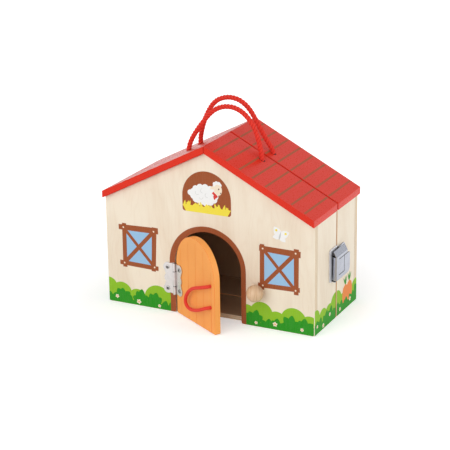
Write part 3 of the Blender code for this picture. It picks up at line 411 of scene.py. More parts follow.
def ply_edge(tree, given):
    """A board's face colour, with the plies and glue lines where the board's thickness shows."""
    layer = tree.math("ADD", tree.math("DIVIDE", given["Depth"], given["Ply"]), 0.5)
    odd = tree.math("GREATER_THAN", tree.math("PINGPONG", tree.math("FLOOR", layer), 1), 0.5)
    glue = tree.spread(tree.math("PINGPONG", layer, 0.5), 0, 0.07, 1, 0)
    grit = tree.noise(given["Vector"], 1400, 2)
    end_grain = tree.mix(grit, END_GRAIN_DARK, END_GRAIN_PALE)
    long_grain = tree.mix(tree.math("MULTIPLY", grit, 0.5), given["Face"], LONG_GRAIN)
    plies = tree.mix(odd, long_grain, end_grain)
    plies = tree.mix(tree.math("MULTIPLY", glue, 0.7), plies, GLUE_LINE)
    inset = tree.math("SUBTRACT", given["Half Board"], tree.math("ABSOLUTE", given["Depth"]))
    edge = tree.spread(inset, 0.25 * MM, 0.4 * MM, 0, 1)
    return {"Color": tree.mix(edge, given["Face"], plies), "Edge": edge}


def lacquer(tree, given):
    """A film of paint: soft patches, a fine orange peel and the wood's grain showing through as relief."""
    patch = tree.spread(tree.noise(given["Vector"], 22, 3), 0.3, 0.7, 0, 0.6)
    peel = tree.noise(given["Vector"], 700, 2)
    grain = tree.noise(tree.scaled(given["Vector"], (1, 0.04, 1)), 900, 2)
    return {"Color": tree.mix(patch, given["Color"], tree.tinted(given["Color"], LACQUER_TINT)),
            "Roughness": tree.math("ADD", given["Gloss"], tree.spread(peel, 0.3, 0.7, -0.005, 0.03)),
            "Height": tree.weighted((peel, 0.6), (grain, 0.4))}


def print_film(tree, given):
    """Screen-printed ink: pinholes and thin places let a little of what lies under it through."""
    pinhole = tree.spread(tree.noise(given["Vector"], 2600, 1), 0.70, 0.76, 0, 0.2)
    thin = tree.spread(tree.noise(tree.scaled(given["Vector"], (1, 1, 0.05)), 1300, 2), 0.35, 0.75, 0, 0.03)
    share = tree.math("MAXIMUM", pinhole, thin)
    return {"Color": tree.mix(share, given["Color"], given["Under"]),
            "Roughness": tree.spread(thin, 0, 0.03, 0.45, 0.58),
            "Height": tree.math("SUBTRACT", 1, share)}


def plated_metal(tree, given):
    """Plated sheet metal: soft smudges, fine scratches and dull places, and painted shade where Recess marks
    a recess or gap.
    """
    smudge = tree.noise(given["Vector"], 160, 3)
    share = tree.spread(smudge, 0.35, 0.7, 0, 0.7)
    colour = tree.mix(share, given["Color"], tree.tinted(given["Color"], SMUDGE_TINT))
    dulled = tree.spread(smudge, 0.3, 0.75, -0.04, 0.10)
    # Painted shade where Recess marks a recess or gap
    return {"Color": tree.mix(given["Recess"], colour, METAL_SHADE),
            "Roughness": tree.weighted((given["Dullness"], 1), (dulled, 1), (given["Recess"], 0.4)),
            "Height": tree.noise(tree.scaled(given["Vector"], (1, 1, 0.02)), 4200, 1)}


def laid_yarn(tree, given):
    """Yarns laid along a cord: lines that run round its surface as they follow it, from its own UV map, with
    painted shade between the yarns.
    """
    turn, length, _ = tree.parts(given["Vector"])
    round_turns = tree.math("MULTIPLY", turn, given["Yarns"])
    along = tree.math("MULTIPLY", length, given["Slant"])
    one_way = tree.math("PINGPONG", tree.math("ADD", round_turns, along), 0.5)
    other_way = tree.math("PINGPONG", tree.math("SUBTRACT", round_turns, along), 0.5)
    crossed = tree.math("SUBTRACT", tree.math("MAXIMUM", one_way, other_way), one_way)
    crown = tree.weighted((one_way, 1), (crossed, given["Braid"]))
    fuzz = tree.noise(tree.scaled(given["Vector"], (60, 4000, 1)), 1, 2)
    height = tree.weighted((crown, 2), (fuzz, 0.5))
    # Painted shade where the yarns dip
    share = tree.spread(height, 0.15, 1.0, 0.45, 0)
    return {"Color": tree.mix(share, given["Color"], given["Deep"]), "Height": height}


new_group(wood_grain, Pale=BIRCH_PALE, Dark=BIRCH_DARK, Ring_Width=9 * MM, Ring_Share=0.2, Contrast=0.5)
new_group(ply_edge, Depth=0.0, Half_Board=4 * MM, Ply=1.6 * MM, Face=BIRCH_PALE)
new_group(lacquer, Color=ROOF_RED, Gloss=0.3)
new_group(print_film, Color=INKS["trim_ink"], Under=BIRCH_PALE)
new_group(plated_metal, Color=NICKEL, Dullness=0.25, Recess=0.0)
new_group(laid_yarn, Color=CORD_RED, Deep=CORD_SHADE, Yarns=9.0, Slant=160.0, Braid=0.0)


def new_material(name):
    """The empty tree of a new material."""
    material = finishes[name] = bpy.data.materials.new(name)
    material.use_nodes = True
    material.node_tree.nodes.clear()
    return Tree(material.node_tree)


def close_finish(tree, film, relief, **values):
    """Ends a material with a Principled shader of a film's colour, roughness and relief in metres."""
    bump = tree.add("ShaderNodeBump", {"Strength": 1, "Distance": relief, "Height": film["Height"]})
    inputs = spaced(values) | {"Base Color": film["Color"], "Normal": bump.outputs[0]}
    if "Roughness" in film:
        inputs["Roughness"] = film["Roughness"]
    shader = tree.add("ShaderNodeBsdfPrincipled", inputs)
    tree.add("ShaderNodeOutputMaterial", {0: shader.outputs[0]})


def birch_finish(name, order, middle, inward, half_board=BOARD / 2):
    """Clear-varnished birch ply, with painted shade that browns its inner face, towards which inward points,
    and in the gap at the seam.

    order names the axes across the grain, through the board and along the grain.
    """
    tree = new_material(name)
    place = tree.place()
    parts = dict(zip("XYZ", tree.parts(place)))
    laid = tree.add("ShaderNodeCombineXYZ", {index: parts[axis] for index, axis in enumerate(order)})
    grain = tree.group("wood_grain", Vector=laid.outputs[0])
    depth = tree.math("SUBTRACT", parts[order[1]], middle)
    # Painted shade: the board's inner face is tinted browner
    inner = tree.spread(tree.math("MULTIPLY", depth, inward), half_board * 0.9, half_board * 0.98, 0, 1)
    face = tree.mix(inner, grain["Color"], tree.tinted(grain["Color"], INNER_SHADE_TINT))
    board = tree.group("ply_edge", Vector=place, Depth=depth, Half_Board=half_board, Ply=half_board * 2 / 5,
                       Face=face)
    # Painted shade: the faces beside the gap at the seam are tinted brown
    from_seam = tree.math("ABSOLUTE", tree.math("SUBTRACT", parts["Y"], SEAM_Y))
    joint = tree.spread(from_seam, SEAM_HALF_GAP + 0.1 * MM, SEAM_HALF_GAP + 0.6 * MM, 1, 0)
    film = {"Color": tree.mix(joint, board["Color"], tree.tinted(board["Color"], SEAM_SHADE_TINT)),
            "Roughness": tree.weighted((grain["Roughness"], 1), (board["Edge"], 0.2)),
            "Height": grain["Height"]}
    close_finish(tree, film, BIRCH_RELIEF, Coat_Weight=0.12, Coat_Roughness=0.35, Specular_IOR_Level=0.3)


def paint_finish(name, colour, gloss, deep):
    """Satin paint, with painted shade in the holes and a deeper colour in the lines that a piece marks with
    its attribute.
    """
    tree = new_material(name)
    film = tree.group("lacquer", Vector=tree.place(), Color=colour, Gloss=gloss)
    film["Color"] = tree.mix(tree.mark("recess"), film["Color"], deep)
    close_finish(tree, film, PAINT_RELIEF, IOR=1.3, Specular_IOR_Level=0.3)


def ink_finish(name, colour, under):
    """One printed colour."""
    tree = new_material(name)
    film = tree.group("print_film", Vector=tree.place(), Color=colour, Under=under)
    close_finish(tree, film, INK_RELIEF, IOR=1.3, Specular_IOR_Level=0.25)


def metal_finish(name, colour, dullness):
    """Plated metal, with painted shade in the recesses and gaps that a piece marks with its own attribute."""
    tree = new_material(name)
    plate = tree.group("plated_metal", Vector=tree.place(), Color=colour, Dullness=dullness,
                       Recess=tree.mark("recess"))
    close_finish(tree, plate, METAL_RELIEF, Metallic=1)


def cord_finish(name, colour, yarns, slant, braid, relief):
    """Red cord, its yarns laid by the piece's own UV map, with painted shade in the grooves between its
    strands.
    """
    tree = new_material(name)
    yarn = tree.group("laid_yarn", Vector=tree.place("UV"), Color=colour, Yarns=yarns, Slant=slant,
                      Braid=braid)
    # Painted shade in the grooves between the strands, where crown is low
    yarn["Color"] = tree.mix(tree.spread(tree.mark("crown"), 0.62, 0.92, 0.8, 0), yarn["Color"], CORD_SHADE)
    close_finish(tree, yarn, relief, Roughness=0.7, Sheen_Weight=0.06, Sheen_Roughness=0.4,
                 Specular_IOR_Level=0.2)


def turned_finish(name, ring_centre):
    """Turned and varnished hardwood with clear rings."""
    tree = new_material(name)
    inputs = {0: tree.place(), 1: ring_centre}
    place = tree.add("ShaderNodeVectorMath", inputs, operation="SUBTRACT").outputs[0]
    away = tree.add("ShaderNodeVectorMath", {0: tree.scaled(place, (1, 1, 0.6))}, operation="LENGTH")
    _, y, z = tree.parts(place)
    laid = {0: away.outputs["Value"], 1: tree.math("MULTIPLY", y, 0.1), 2: z}
    laid = tree.add("ShaderNodeCombineXYZ", laid).outputs[0]
    grain = tree.group("wood_grain", Vector=laid, Pale=BALL_PALE, Dark=BALL_DARK, Ring_Width=4.4 * MM,
                       Ring_Share=0.34, Contrast=0.9)
    close_finish(tree, grain, BALL_RELIEF, Coat_Weight=0.25, Coat_Roughness=0.2)


def make_finishes():
    """Every finish of the house."""
    half_board = BOARD / 2
    birch_finish("front_birch", "XYZ", FRONT_Y + half_board, 1)
    birch_finish("rear_birch", "XYZ", REAR_Y - half_board, -1)
    birch_finish("left_birch", "YXZ", half_board - HALF_WIDTH, 1)
    birch_finish("right_birch", "YXZ", HALF_WIDTH - half_board, -1)
    birch_finish("floor_birch", "YZX", FLOOR_TOP / 2, 1, FLOOR_TOP / 2)
    paint_finish("roof_paint", ROOF_RED, 0.27, HOLE_SHADE_COLOUR)
    paint_finish("door_paint", DOOR_ORANGE, 0.42, GROOVE_ORANGE)
    for name, colour in INKS.items():
        ink_finish(name, colour, UNDER_INKS.get(name, BIRCH_PALE))
    metal_finish("nickel", NICKEL, 0.30)
    metal_finish("chrome", CHROME, 0.16)
    # Painted light: the lighter copy of the plating for the latch's base plate
    metal_finish("lightened_plating", LIGHTENED_PLATING, 0.45)
    cord_finish("rope_yarn", CORD_RED, 7, 190, 0, ROPE_RELIEF)
    cord_finish("loop_yarn", LOOP_RED, 8, 420, 1, LOOP_RELIEF)
    # The ball's rings run about a point beside it
    low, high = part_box("door_knob")
    turned_finish("turned_beech", (low + high) / 2 + Vector((-34, -22, 10)) * MM)


def new_object(name, data):
    """A new object in the scene."""
    piece = bpy.data.objects.new(name, data)
    bpy.context.scene.collection.objects.link(piece)
    return piece


def add_mesh(name, shape, finish_name):
    """A piece from a bmesh, with one finish."""
    mesh = bpy.data.meshes.new(name)
    shape.to_mesh(mesh)
    shape.free()
    mesh.materials.append(finishes[finish_name])
    return new_object(name, mesh)


def settle(piece, body, slot, *nodes):
    """Sets a finished piece on its body and hides the CAD nodes that it stands for. Its slot is not used."""
    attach(piece, body)
    if nodes:
        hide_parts(*nodes)
    return piece


def shade_by_angle(mesh, degrees):
    """Shades a mesh smooth, apart from edges sharper than an angle."""
    mesh.shade_smooth()
    mesh.set_sharp_from_angle(angle=math.radians(degrees))


def dressed(node, body, slot, finish_name, radius=0):
    """A CAD node's shape with merged corners, smooth shading and, where a radius is given, softened rims."""
    shape = bmesh.new()
    shape.from_mesh(frame["nodes"][node].data)
    bmesh.ops.remove_doubles(shape, verts=shape.verts, dist=0.001 * MM)
    if radius:
        bmesh.ops.dissolve_limit(shape, angle_limit=math.radians(1), verts=shape.verts, edges=shape.edges)
    for layer in list(shape.loops.layers.uv):
        shape.loops.layers.uv.remove(layer)
    piece = add_mesh(f"{node}_dressed", shape, finish_name)
    shade_by_angle(piece.data, CREASE)
    if radius:
        bevel = piece.modifiers.new("softened", "BEVEL")
        bevel.width = radius
        bevel.segments = 2
        bevel.limit_method = "ANGLE"
        bevel.angle_limit = math.radians(CREASE)
        bevel.harden_normals = True
    else:
        weighted = piece.modifiers.new("flat faces", "WEIGHTED_NORMAL")
        weighted.keep_sharp = True
    return settle(piece, body, slot, node)


def dress_boards():
    """Every board of the house, with its finish."""
    dressed("front_wall", "front_half", "birch", "front_birch")
    dressed("rear_wall", "rear_half", "birch", "rear_birch")
    for half in ("front", "rear"):
        body = f"{half}_half"
        dressed(f"{half}_left_side", body, "birch", "left_birch")
        dressed(f"{half}_right_side", body, "birch", "right_birch")
        dressed(f"{half}_floor", body, "birch", "floor_birch")
        for hand in ("left", "right"):
            mark_recess(dressed(f"{half}_roof_{hand}", body, "red_paint", "roof_paint"), in_rope_hole)
    mark_recess(dressed("door", "door", "orange_paint", "door_paint"), in_groove)


def smooth_route(points):
    """Points on a smooth curve through a cord's own points."""
    ends = [points[0] * 2 - points[1]] + points + [points[-1] * 2 - points[-2]]
    route = []
    for before, start, end, after in zip(ends, ends[1:], ends[2:], ends[3:]):
        for step in range(ROUTE_STEPS):
            t = step / ROUTE_STEPS
            bend = (before * -1 + start * 3 - end * 3 + after) * t ** 3
            bend += (before * 2 - start * 5 + end * 4 - after) * t ** 2
            route.append((start * 2 + (end - before) * t + bend) / 2)
    route.append(points[-1])
    return route


def route_length(route):
    """The length of a route."""
    return sum((b - a).length for a, b in zip(route, route[1:]))


def even_route(points):
    """A smooth route's points at the cords' even spacing."""
    fine = smooth_route(points)
    total = route_length(fine)
    count = round(total / CORD_SPACING)
    route = [fine[0]]
    walked = 0
    target = total / count
    for a, b in zip(fine, fine[1:]):
        length = (b - a).length
        while walked + length >= target * len(route) and len(route) < count:
            share = (target * len(route) - walked) / length
            route.append(a.lerp(b, share))
        walked += length
    route.append(fine[-1])
    return route


def stations(route):
    """Each point of a route: how far along it lies, where, and two crosswise directions without twist."""
    tangents = []
    for index in range(len(route)):
        before = route[max(index - 1, 0)]
        after = route[min(index + 1, len(route) - 1)]
        tangents.append((after - before).normalized())
    side = tangents[0].orthogonal().normalized()
    walked = 0
    placed = []
    for index, (centre, tangent) in enumerate(zip(route, tangents)):
        if index:
            walked += (centre - route[index - 1]).length
        side = tangents[max(index - 1, 0)].rotation_difference(tangent) @ side
        side = (side - tangent * side.dot(tangent)).normalized()
        placed.append((walked, centre, side, tangent.cross(side)))
    return placed


def sweep(shape, route, radius, sides, rope=None):
    """Adds one tube with closed ends to a shape. Its map has turns round the tube and metres along it.

    A rope's middle line and radius mark how far out each point lies, as the share called crown.
    """
    layer = shape.loops.layers.uv.verify()
    crown = shape.verts.layers.float.get("crown") or shape.verts.layers.float.new("crown")
    middles, reach = rope or (route, radius)
    rings = []
    for middle, (walked, centre, side, up) in zip(middles, stations(route)):
        ring = []
        for step in range(sides):
            angle = 2 * math.pi * step / sides
            vert = shape.verts.new(centre + (side * math.cos(angle) + up * math.sin(angle)) * radius)
            vert[crown] = (vert.co - middle).length / reach
            ring.append(vert)
        rings.append((walked, ring))
    for (near_walk, near), (far_walk, far) in zip(rings, rings[1:]):
        for step in range(sides):
            corners = [near[step], near[(step + 1) % sides], far[(step + 1) % sides], far[step]]
            face = shape.faces.new(corners)
            places = [(step, near_walk), (step + 1, near_walk), (step + 1, far_walk), (step, far_walk)]
            for loop, (turn, walk) in zip(face.loops, places):
                loop[layer].uv = (turn / sides, walk)
    shape.faces.new(reversed(rings[0][1]))
    shape.faces.new(rings[-1][1])


def twisted_strands(name, route, radius):
    """A rope laid from strands that wind round its middle."""
    shape = bmesh.new()
    placed = stations(route)
    strand = radius * STRAND_SHARE
    offset = radius - strand
    for number in range(STRAND_COUNT):
        line = []
        for walked, centre, side, up in placed:
            angle = 2 * math.pi * (walked / ROPE_PITCH + number / STRAND_COUNT)
            line.append(centre + (side * math.cos(angle) + up * math.sin(angle)) * offset)
        sweep(shape, line, strand, STRAND_SIDES, (route, radius))
    piece = add_mesh(name, shape, "rope_yarn")
    piece.data.shade_smooth()
    return piece


# The ropes' routes in millimetres, from the left knot to the right one. Y counts from the seam.
FRONT_ROPE = [
    (-49, -15.6, 182.6), (-49, -15.6, 188.5), (-48.9, -15.6, 194.5), (-47.3, -15.4, 202), (-43.2, -15.1, 211),
    (-36.2, -14.5, 222), (-28.6, -13.9, 232.2), (-21.4, -13.4, 241), (-13.4, -13, 247.6), (-5, -12.7, 251.4),
    (3.8, -12.6, 252.9), (13, -12.7, 252), (22.2, -13, 248.2), (30.6, -13.4, 241.4), (38.2, -13.9, 231.6),
    (43.6, -14.5, 219), (47.2, -15.1, 206), (48.9, -15.5, 196.5), (49, -15.6, 188.5), (49, -15.6, 182.6),
]
REAR_ROPE = [
    (-49, 15.6, 182.6), (-49, 15.6, 188.5), (-48.9, 15.5, 195), (-47.6, 14.1, 204.5), (-44.2, 12.3, 216),
    (-39.2, 10.5, 228.3), (-33.2, 8.9, 239.4), (-26.4, 7.5, 248.7), (-17.4, 6.6, 255.6), (-5, 6.1, 259.2),
    (7.4, 6.1, 257.8), (16.6, 6.6, 252.6), (23.4, 7.5, 245.2), (28.6, 8.9, 236), (34.8, 10.5, 224),
    (41.6, 12.3, 211), (46.8, 14.3, 201.5), (48.9, 15.5, 195.8), (49, 15.6, 189), (49, 15.6, 182.6),
]
# The elastic loop: distance from the door's hinge axis, stand-off from the door's face, and height.
DOOR_LOOP = [
    (79.5, -3.9, 60.1), (79.5, 0, 60.1), (79, 3.2, 60), (76.4, 5.9, 59.2), (71, 7.1, 57.3), (64.5, 7.2, 55),
    (58, 7, 52.6), (51.5, 6.7, 49.8), (45, 6.3, 46.2), (39, 6, 41.5), (34.4, 5.9, 36.2), (31.6, 5.8, 30.4),
    (31.3, 5.8, 25.8), (34, 5.9, 22), (39.2, 6, 20.3), (46, 6.3, 20.6), (53, 6.7, 22.4), (60.5, 7.1, 25),
    (68, 7.3, 28.2), (74.5, 6.4, 31.4), (78.4, 3.9, 33), (79.5, 0.4, 33.1), (79.5, -3.9, 33.1),
]


def add_knot(name, top, hand, body, node):
    """A stopper knot under a roof board: the rope's end in an overhand turn, drawn tight."""
    curl = KNOT_CURL
    points = [top]
    middle = top - Vector((0, 0, curl * KNOT_DROP_SHARE))
    for step in range(KNOT_STEPS + 1):
        t = 0.5 + (2 * math.pi - 1) * step / KNOT_STEPS
        across = (math.sin(t) + 2 * math.sin(2 * t)) / 3
        out = (math.cos(t) - 2 * math.cos(2 * t)) / 3
        rise = -math.sin(3 * t)
        points.append(middle + Vector((across * curl * hand, rise * curl * KNOT_LOBE_SHARE, -out * curl)))
    side, out, fall = KNOT_END_SHARES
    points.append(points[-1] + Vector((hand * curl * side, out, curl * fall)))
    piece = twisted_strands(name, even_route(points), ROPE_RADIUS * KNOT_SQUEEZE_SHARE)
    return settle(piece, body, "red_cord", node)


def add_rope(half, points):
    """One rope handle and its two stopper knots."""
    body = f"{half}_half"
    route = even_route([Vector((x * MM, SEAM_Y + y * MM, z * MM)) for x, y, z in points])
    rope = twisted_strands(f"{half}_rope_handle", route, ROPE_RADIUS)
    settle(rope, body, "red_cord", f"{half}_rope")
    knots = [add_knot(f"{half}_knot_left", route[0], -1, body, f"{half}_rope_knot_left"),
             add_knot(f"{half}_knot_right", route[-1], 1, body, f"{half}_rope_knot_right")]


def door_place(along, off, height):
    """A point of the open door, from its place on the closed door."""
    turn = Matrix.Rotation(-math.radians(DOOR_OPEN_ANGLE), 4, "Z")
    face = FRONT_Y - DOOR_AXIS.y
    return Vector((DOOR_AXIS.x, DOOR_AXIS.y, 0)) + turn @ Vector((along, face - off, height))


def add_door_loop():
    """The elastic loop on the door."""
    route = even_route([door_place(along * MM, off * MM, height * MM) for along, off, height in DOOR_LOOP])
    shape = bmesh.new()
    sweep(shape, route, LOOP_RADIUS, LOOP_SIDES)
    loop = add_mesh("door_elastic_loop", shape, "loop_yarn")
    loop.data.shade_smooth()
    settle(loop, "door", "red_cord", "door_loop")


def add_camera():
    """The camera, at the photograph's angle and distance."""
    azimuth = math.radians(CAMERA_AZIMUTH)
    elevation = math.radians(CAMERA_ELEVATION)
    back = Vector((math.sin(azimuth) * math.cos(elevation), -math.cos(azimuth) * math.cos(elevation),
                   math.sin(elevation)))
    level_right = Vector((math.cos(azimuth), math.sin(azimuth), 0))
    roll = math.radians(CAMERA_ROLL)
    level_up = back.cross(level_right)
    right = level_right * math.cos(roll) + level_up * math.sin(roll)
    up = back.cross(right)
    camera = new_object("camera", bpy.data.cameras.new("camera"))
    camera.data.lens = CAMERA_LENS
    camera.data.sensor_width = CAMERA_SENSOR
    camera.data.clip_end = CAMERA_REACH
    turn = Matrix((right, up, back)).transposed().to_4x4()
    camera.matrix_world = Matrix.Translation(CAMERA_TARGET + back * CAMERA_DISTANCE) @ turn
    bpy.context.scene.camera = camera


def seen_directly(tree):
    """1 for rays from the camera, a reflection or a clear material, and 0 for light on a surface."""
    rays = tree.add("ShaderNodeLightPath").outputs
    either = tree.math("MAXIMUM", rays["Is Camera Ray"], rays["Is Glossy Ray"])
    return tree.math("MAXIMUM", either, rays["Is Transmission Ray"])


def add_stage():
    """The floor, the white surroundings and two large soft lamps."""
    scene = bpy.context.scene
    scene.view_settings.view_transform = "Standard"
    world = bpy.data.worlds.new("surroundings")
    world.use_nodes = True
    scene.world = world
    tree = Tree(world.node_tree)
    world.node_tree.nodes.clear()
    strength = tree.math("ADD", AMBIENT, tree.math("MULTIPLY", seen_directly(tree), 1 - AMBIENT))
    sky = tree.add("ShaderNodeBackground", {"Color": (1, 1, 1, 1), "Strength": strength})
    tree.add("ShaderNodeOutputWorld", {0: sky.outputs[0]})

    tree = new_material("floor")
    paper = tree.add("ShaderNodeBsdfDiffuse", {"Color": (0.86, 0.86, 0.86, 1)})
    away = tree.add("ShaderNodeVectorMath", {0: tree.place()}, operation="LENGTH").outputs["Value"]
    strength = tree.spread(away, FLOOR_NEAR, FLOOR_FAR, FLOOR_LIFT_NEAR, FLOOR_LIFT_FAR)
    lift = tree.add("ShaderNodeEmission", {"Color": (1, 1, 1, 1),
                                           "Strength": tree.math("MULTIPLY", seen_directly(tree), strength)})
    both = tree.add("ShaderNodeAddShader", {0: paper.outputs[0], 1: lift.outputs[0]})
    tree.add("ShaderNodeOutputMaterial", {0: both.outputs[0]})
    shape = bmesh.new()
    bmesh.ops.create_grid(shape, x_segments=1, y_segments=1, size=FLOOR_SIZE / 2)
    floor = add_mesh("floor", shape, "floor")

    for name, place, size, power in LAMPS:
        light = bpy.data.lights.new(name, "AREA")
        light.shape = "DISK"
        light.size = size
        light.energy = power
        lamp = new_object(name, light)
        lamp.location = place
        lamp.rotation_euler = (LAMP_AIM - Vector(place)).to_track_quat("-Z", "Y").to_euler()


def arc(centre, radius, start, end, steps, rise=None):
    """Points along an arc between two angles in degrees. A rise makes it elliptical."""
    points = []
    for step in range(steps + 1):
        angle = math.radians(start + (end - start) * step / steps)
        points.append((centre[0] + radius * math.cos(angle), centre[1] + (rise or radius) * math.sin(angle)))
    return points


def circle(centre, radius, steps=32, rise=None):
    """A closed ring of points."""
    return arc(centre, radius, 0, 360, steps, rise)[:-1]


def bar(start, end, start_width, end_width, overrun=0):
    """A bar between two points, of its own width at each end."""
    start, end = Vector(start), Vector(end)
    along = (end - start).normalized()
    across = Vector((-along.y, along.x))
    start = start - along * overrun
    end = end + along * overrun
    corners = [start + across * start_width / 2, start - across * start_width / 2,
               end - across * end_width / 2, end + across * end_width / 2]
    return [tuple(corner) for corner in corners]


def heading(lean):
    """The way up a wall, leaning to the right by an angle in degrees."""
    return Vector((math.sin(math.radians(lean)), math.cos(math.radians(lean))))


def leaf(base, length, width, lean, steps=8, point=0.8, belly=0.75):
    """A leaf that grows from its base and leans by an angle in degrees.

    A smaller point makes it plumper, and a larger belly moves its widest part towards the tip.
    """
    along = heading(lean)
    across = Vector((along.y, -along.x))
    sides = {1: [], -1: []}
    for hand in (1, -1):
        for step in range(steps + 1):
            t = step / steps
            half = width / 2 * math.sin(math.pi * t ** belly) ** point
            place = Vector(base) + along * length * t + across * half * hand
            sides[hand].append(tuple(place))
    return sides[1] + sides[-1][-2:0:-1]


def clip(outline, region):
    """The part of an outline that lies inside a convex region, whose corners run counter-clockwise."""
    for start, end in zip(region, region[1:] + region[:1]):
        start = Vector(start)
        edge = Vector(end) - start
        kept = []
        for before, point in zip(outline[-1:] + outline[:-1], outline):
            was_in = edge.cross(Vector(before) - start)
            is_in = edge.cross(Vector(point) - start)
            if (was_in >= 0) != (is_in >= 0):
                share = was_in / (was_in - is_in)
                kept.append(tuple(b + (p - b) * share for b, p in zip(before, point)))
            if is_in >= 0:
                kept.append(point)
        outline = kept
        if not outline:
            return []
    return outline


def flat_union(outlines):
    """The union of closed outlines, as points and faces."""
    points = []
    loops = []
    for outline in outlines:
        if len(outline) > 2:
            doubled_area = sum(a[0] * b[1] - b[0] * a[1] for a, b in zip(outline, outline[1:] + outline[:1]))
            outline = outline if doubled_area > 0 else outline[::-1]
            loops.append(list(range(len(points), len(points) + len(outline))))
            points += [Vector(point) for point in outline]
    result = geometry.delaunay_2d_cdt(points, [], loops, 0, 1e-7)
    return result[0], [corners for corners, source in zip(result[2], result[5]) if source]


# Where a print's (across, up) point lies on each face of the house, at a lift from the board
FACES = {
    "front": lambda u, v, lift: Vector((u, FRONT_Y - lift, v)),
    "rear": lambda u, v, lift: Vector((u, REAR_Y + lift, v)),
    "right": lambda u, v, lift: Vector((HALF_WIDTH + lift, SEAM_Y + u, v)),
    "left": lambda u, v, lift: Vector((-HALF_WIDTH - lift, SEAM_Y + u, v)),
}


def thin_layer(outlines, place, lift, root):
    """The union of closed outlines as a thin closed bmesh. place sets a point (across, up) at a lift."""
    flat_points, faces = flat_union(outlines)
    shape = bmesh.new()
    top = [shape.verts.new(place(*point, lift)) for point in flat_points]
    under = [shape.verts.new(place(*point, -root)) for point in flat_points]
    for corners in faces:
        shape.faces.new([top[index] for index in corners])
        shape.faces.new([under[index] for index in reversed(corners)])
    edges = dict.fromkeys(pair for corners in faces for pair in zip(corners, corners[1:] + corners[:1]))
    for first, second in edges:
        if (second, first) not in edges:
            shape.faces.new([top[second], top[first], under[first], under[second]])
    bmesh.ops.delete(shape, geom=[vert for vert in shape.verts if not vert.link_faces], context="VERTS")
    bmesh.ops.recalc_face_normals(shape, faces=shape.faces)
    return shape


def print_layer(name, level, outlines, ink, face="front", body="front_half", root=INK_ROOT):
    """One printed colour on a face of the house. Its level counts coats, so layers that overlap show."""
    shape = thin_layer(outlines, FACES[face], level * INK, root)
    return settle(add_mesh(name, shape, ink), body, "birch")


def print_window(name, centre, tilts):
    """A printed window's blue panes and braced planks. Gives its nails' places. Tilts push the bars' ends."""
    left, right = centre.x - WINDOW_HALF_WIDTH, centre.x + WINDOW_HALF_WIDTH
    low, high = centre.y - WINDOW_HALF_HEIGHT, centre.y + WINDOW_HALF_HEIGHT
    print_layer(f"{name}_panes", 1, [[(left, low), (right, low), (right, high), (left, high)]], "pane_ink")
    top, side, foot = (tilt * MM for tilt in tilts)
    bars = [
        ((left - top, high), (right + side, high + top), WINDOW_TOP_BAR, WINDOW_TOP_BAR * 1.15),
        ((left - side, low), (right, low + foot), WINDOW_BAR, WINDOW_BAR),
        ((left - foot, low), (left + top, high), WINDOW_BAR, WINDOW_BAR),
        ((right - top, low), (right + side, high), WINDOW_BAR, WINDOW_BAR * 1.1),
    ]
    planks = [bar(*ends, WINDOW_OVERRUN) for ends in bars]
    planks.append(bar((left, low), (right, high), WINDOW_WIDE_BRACE, WINDOW_WIDE_BRACE))
    planks.append(bar((left, high), (right, low), WINDOW_THIN_BRACE, WINDOW_THIN_BRACE))
    print_layer(f"{name}_planks", 2, planks, "trim_ink")
    return [(x, z) for x in (left, right) for z in (low, high)]


def print_door_border():
    """The brown band round the doorway, from foot to foot, over the doorway's softened edge."""
    inner = DOORWAY_RADIUS + BORDER_OVERLAP
    low = EDGE_RADIUS
    foot = inner + 2 * EDGE_RADIUS
    ankle = low + 2 * EDGE_RADIUS
    outer = arc((0, DOORWAY_SPRING), BORDER_OUTER_RADIUS, 180, 0, 72)
    outer = [(u + BORDER_FROM_CENTRE, v) for u, v in outer]
    outline = [(outer[0][0], low)] + outer + [(outer[-1][0], low), (foot, low), (inner, ankle)]
    outline += arc((0, DOORWAY_SPRING), inner, 0, 180, 72) + [(-inner, ankle), (-foot, low)]
    print_layer("doorway_border", 4, [outline], "trim_ink", root=EDGE_RADIUS - BORDER_OVERLAP)


def woolly(centre, radius, bump, count, rise):
    """An ellipse with circles along its edge."""
    bumps = [circle(place, bump, 20) for place in circle(centre, radius, count, rise)]
    return [circle(centre, radius, 48, rise)] + bumps


def on_lamb(across, up):
    """A point of the lamb, in millimetres from its middle."""
    return LAMB_X + across * MM, LAMB_Z + up * MM


def print_lamb():
    """A lamb at rest: fleece, head, ear, scarf, eye, muzzle and curls."""
    wool = woolly(on_lamb(0, 0), 14.5 * MM, 4.6 * MM, 13, 9.2 * MM)
    wool += woolly(on_lamb(17.5, 14.6), 3.6 * MM, 2.4 * MM, 7, 2.2 * MM)
    wool.append(circle(on_lamb(-18.5, 1), 3.6 * MM, 20))
    print_layer("lamb_wool", 2, wool, "wool_ink")
    ear = leaf(on_lamb(14.6, 11.6), 7.5 * MM, 4 * MM, -112)
    print_layer("lamb_head", 3, [circle(on_lamb(18.5, 8.4), 5.4 * MM, 32, 6.8 * MM), ear], "petal_ink")
    scarf = [bar(on_lamb(11.5, 4.6), on_lamb(17.5, -0.8), 3 * MM, 3 * MM),
             leaf(on_lamb(14.6, 2.6), 7 * MM, 3.8 * MM, 188)]
    print_layer("lamb_scarf", 4, scarf, "scarf_ink")
    eye = [circle(on_lamb(19.6, 9.6), 0.9 * MM, 16), circle(on_lamb(22, 5), 0.7 * MM, 16)]
    print_layer("lamb_eye", 4, eye, "eye_ink")
    curls = [arc(on_lamb(across, up), 2.8 * MM, start, start + 170, 12)
             + arc(on_lamb(across, up), 2.4 * MM, start + 170, start, 12)
             for across, up, start in ((-9, 2, 150), (-2, 5, 100), (-4, -3, 200), (4, 0, 120))]
    print_layer("lamb_curls", 3, curls, "grey_ink")


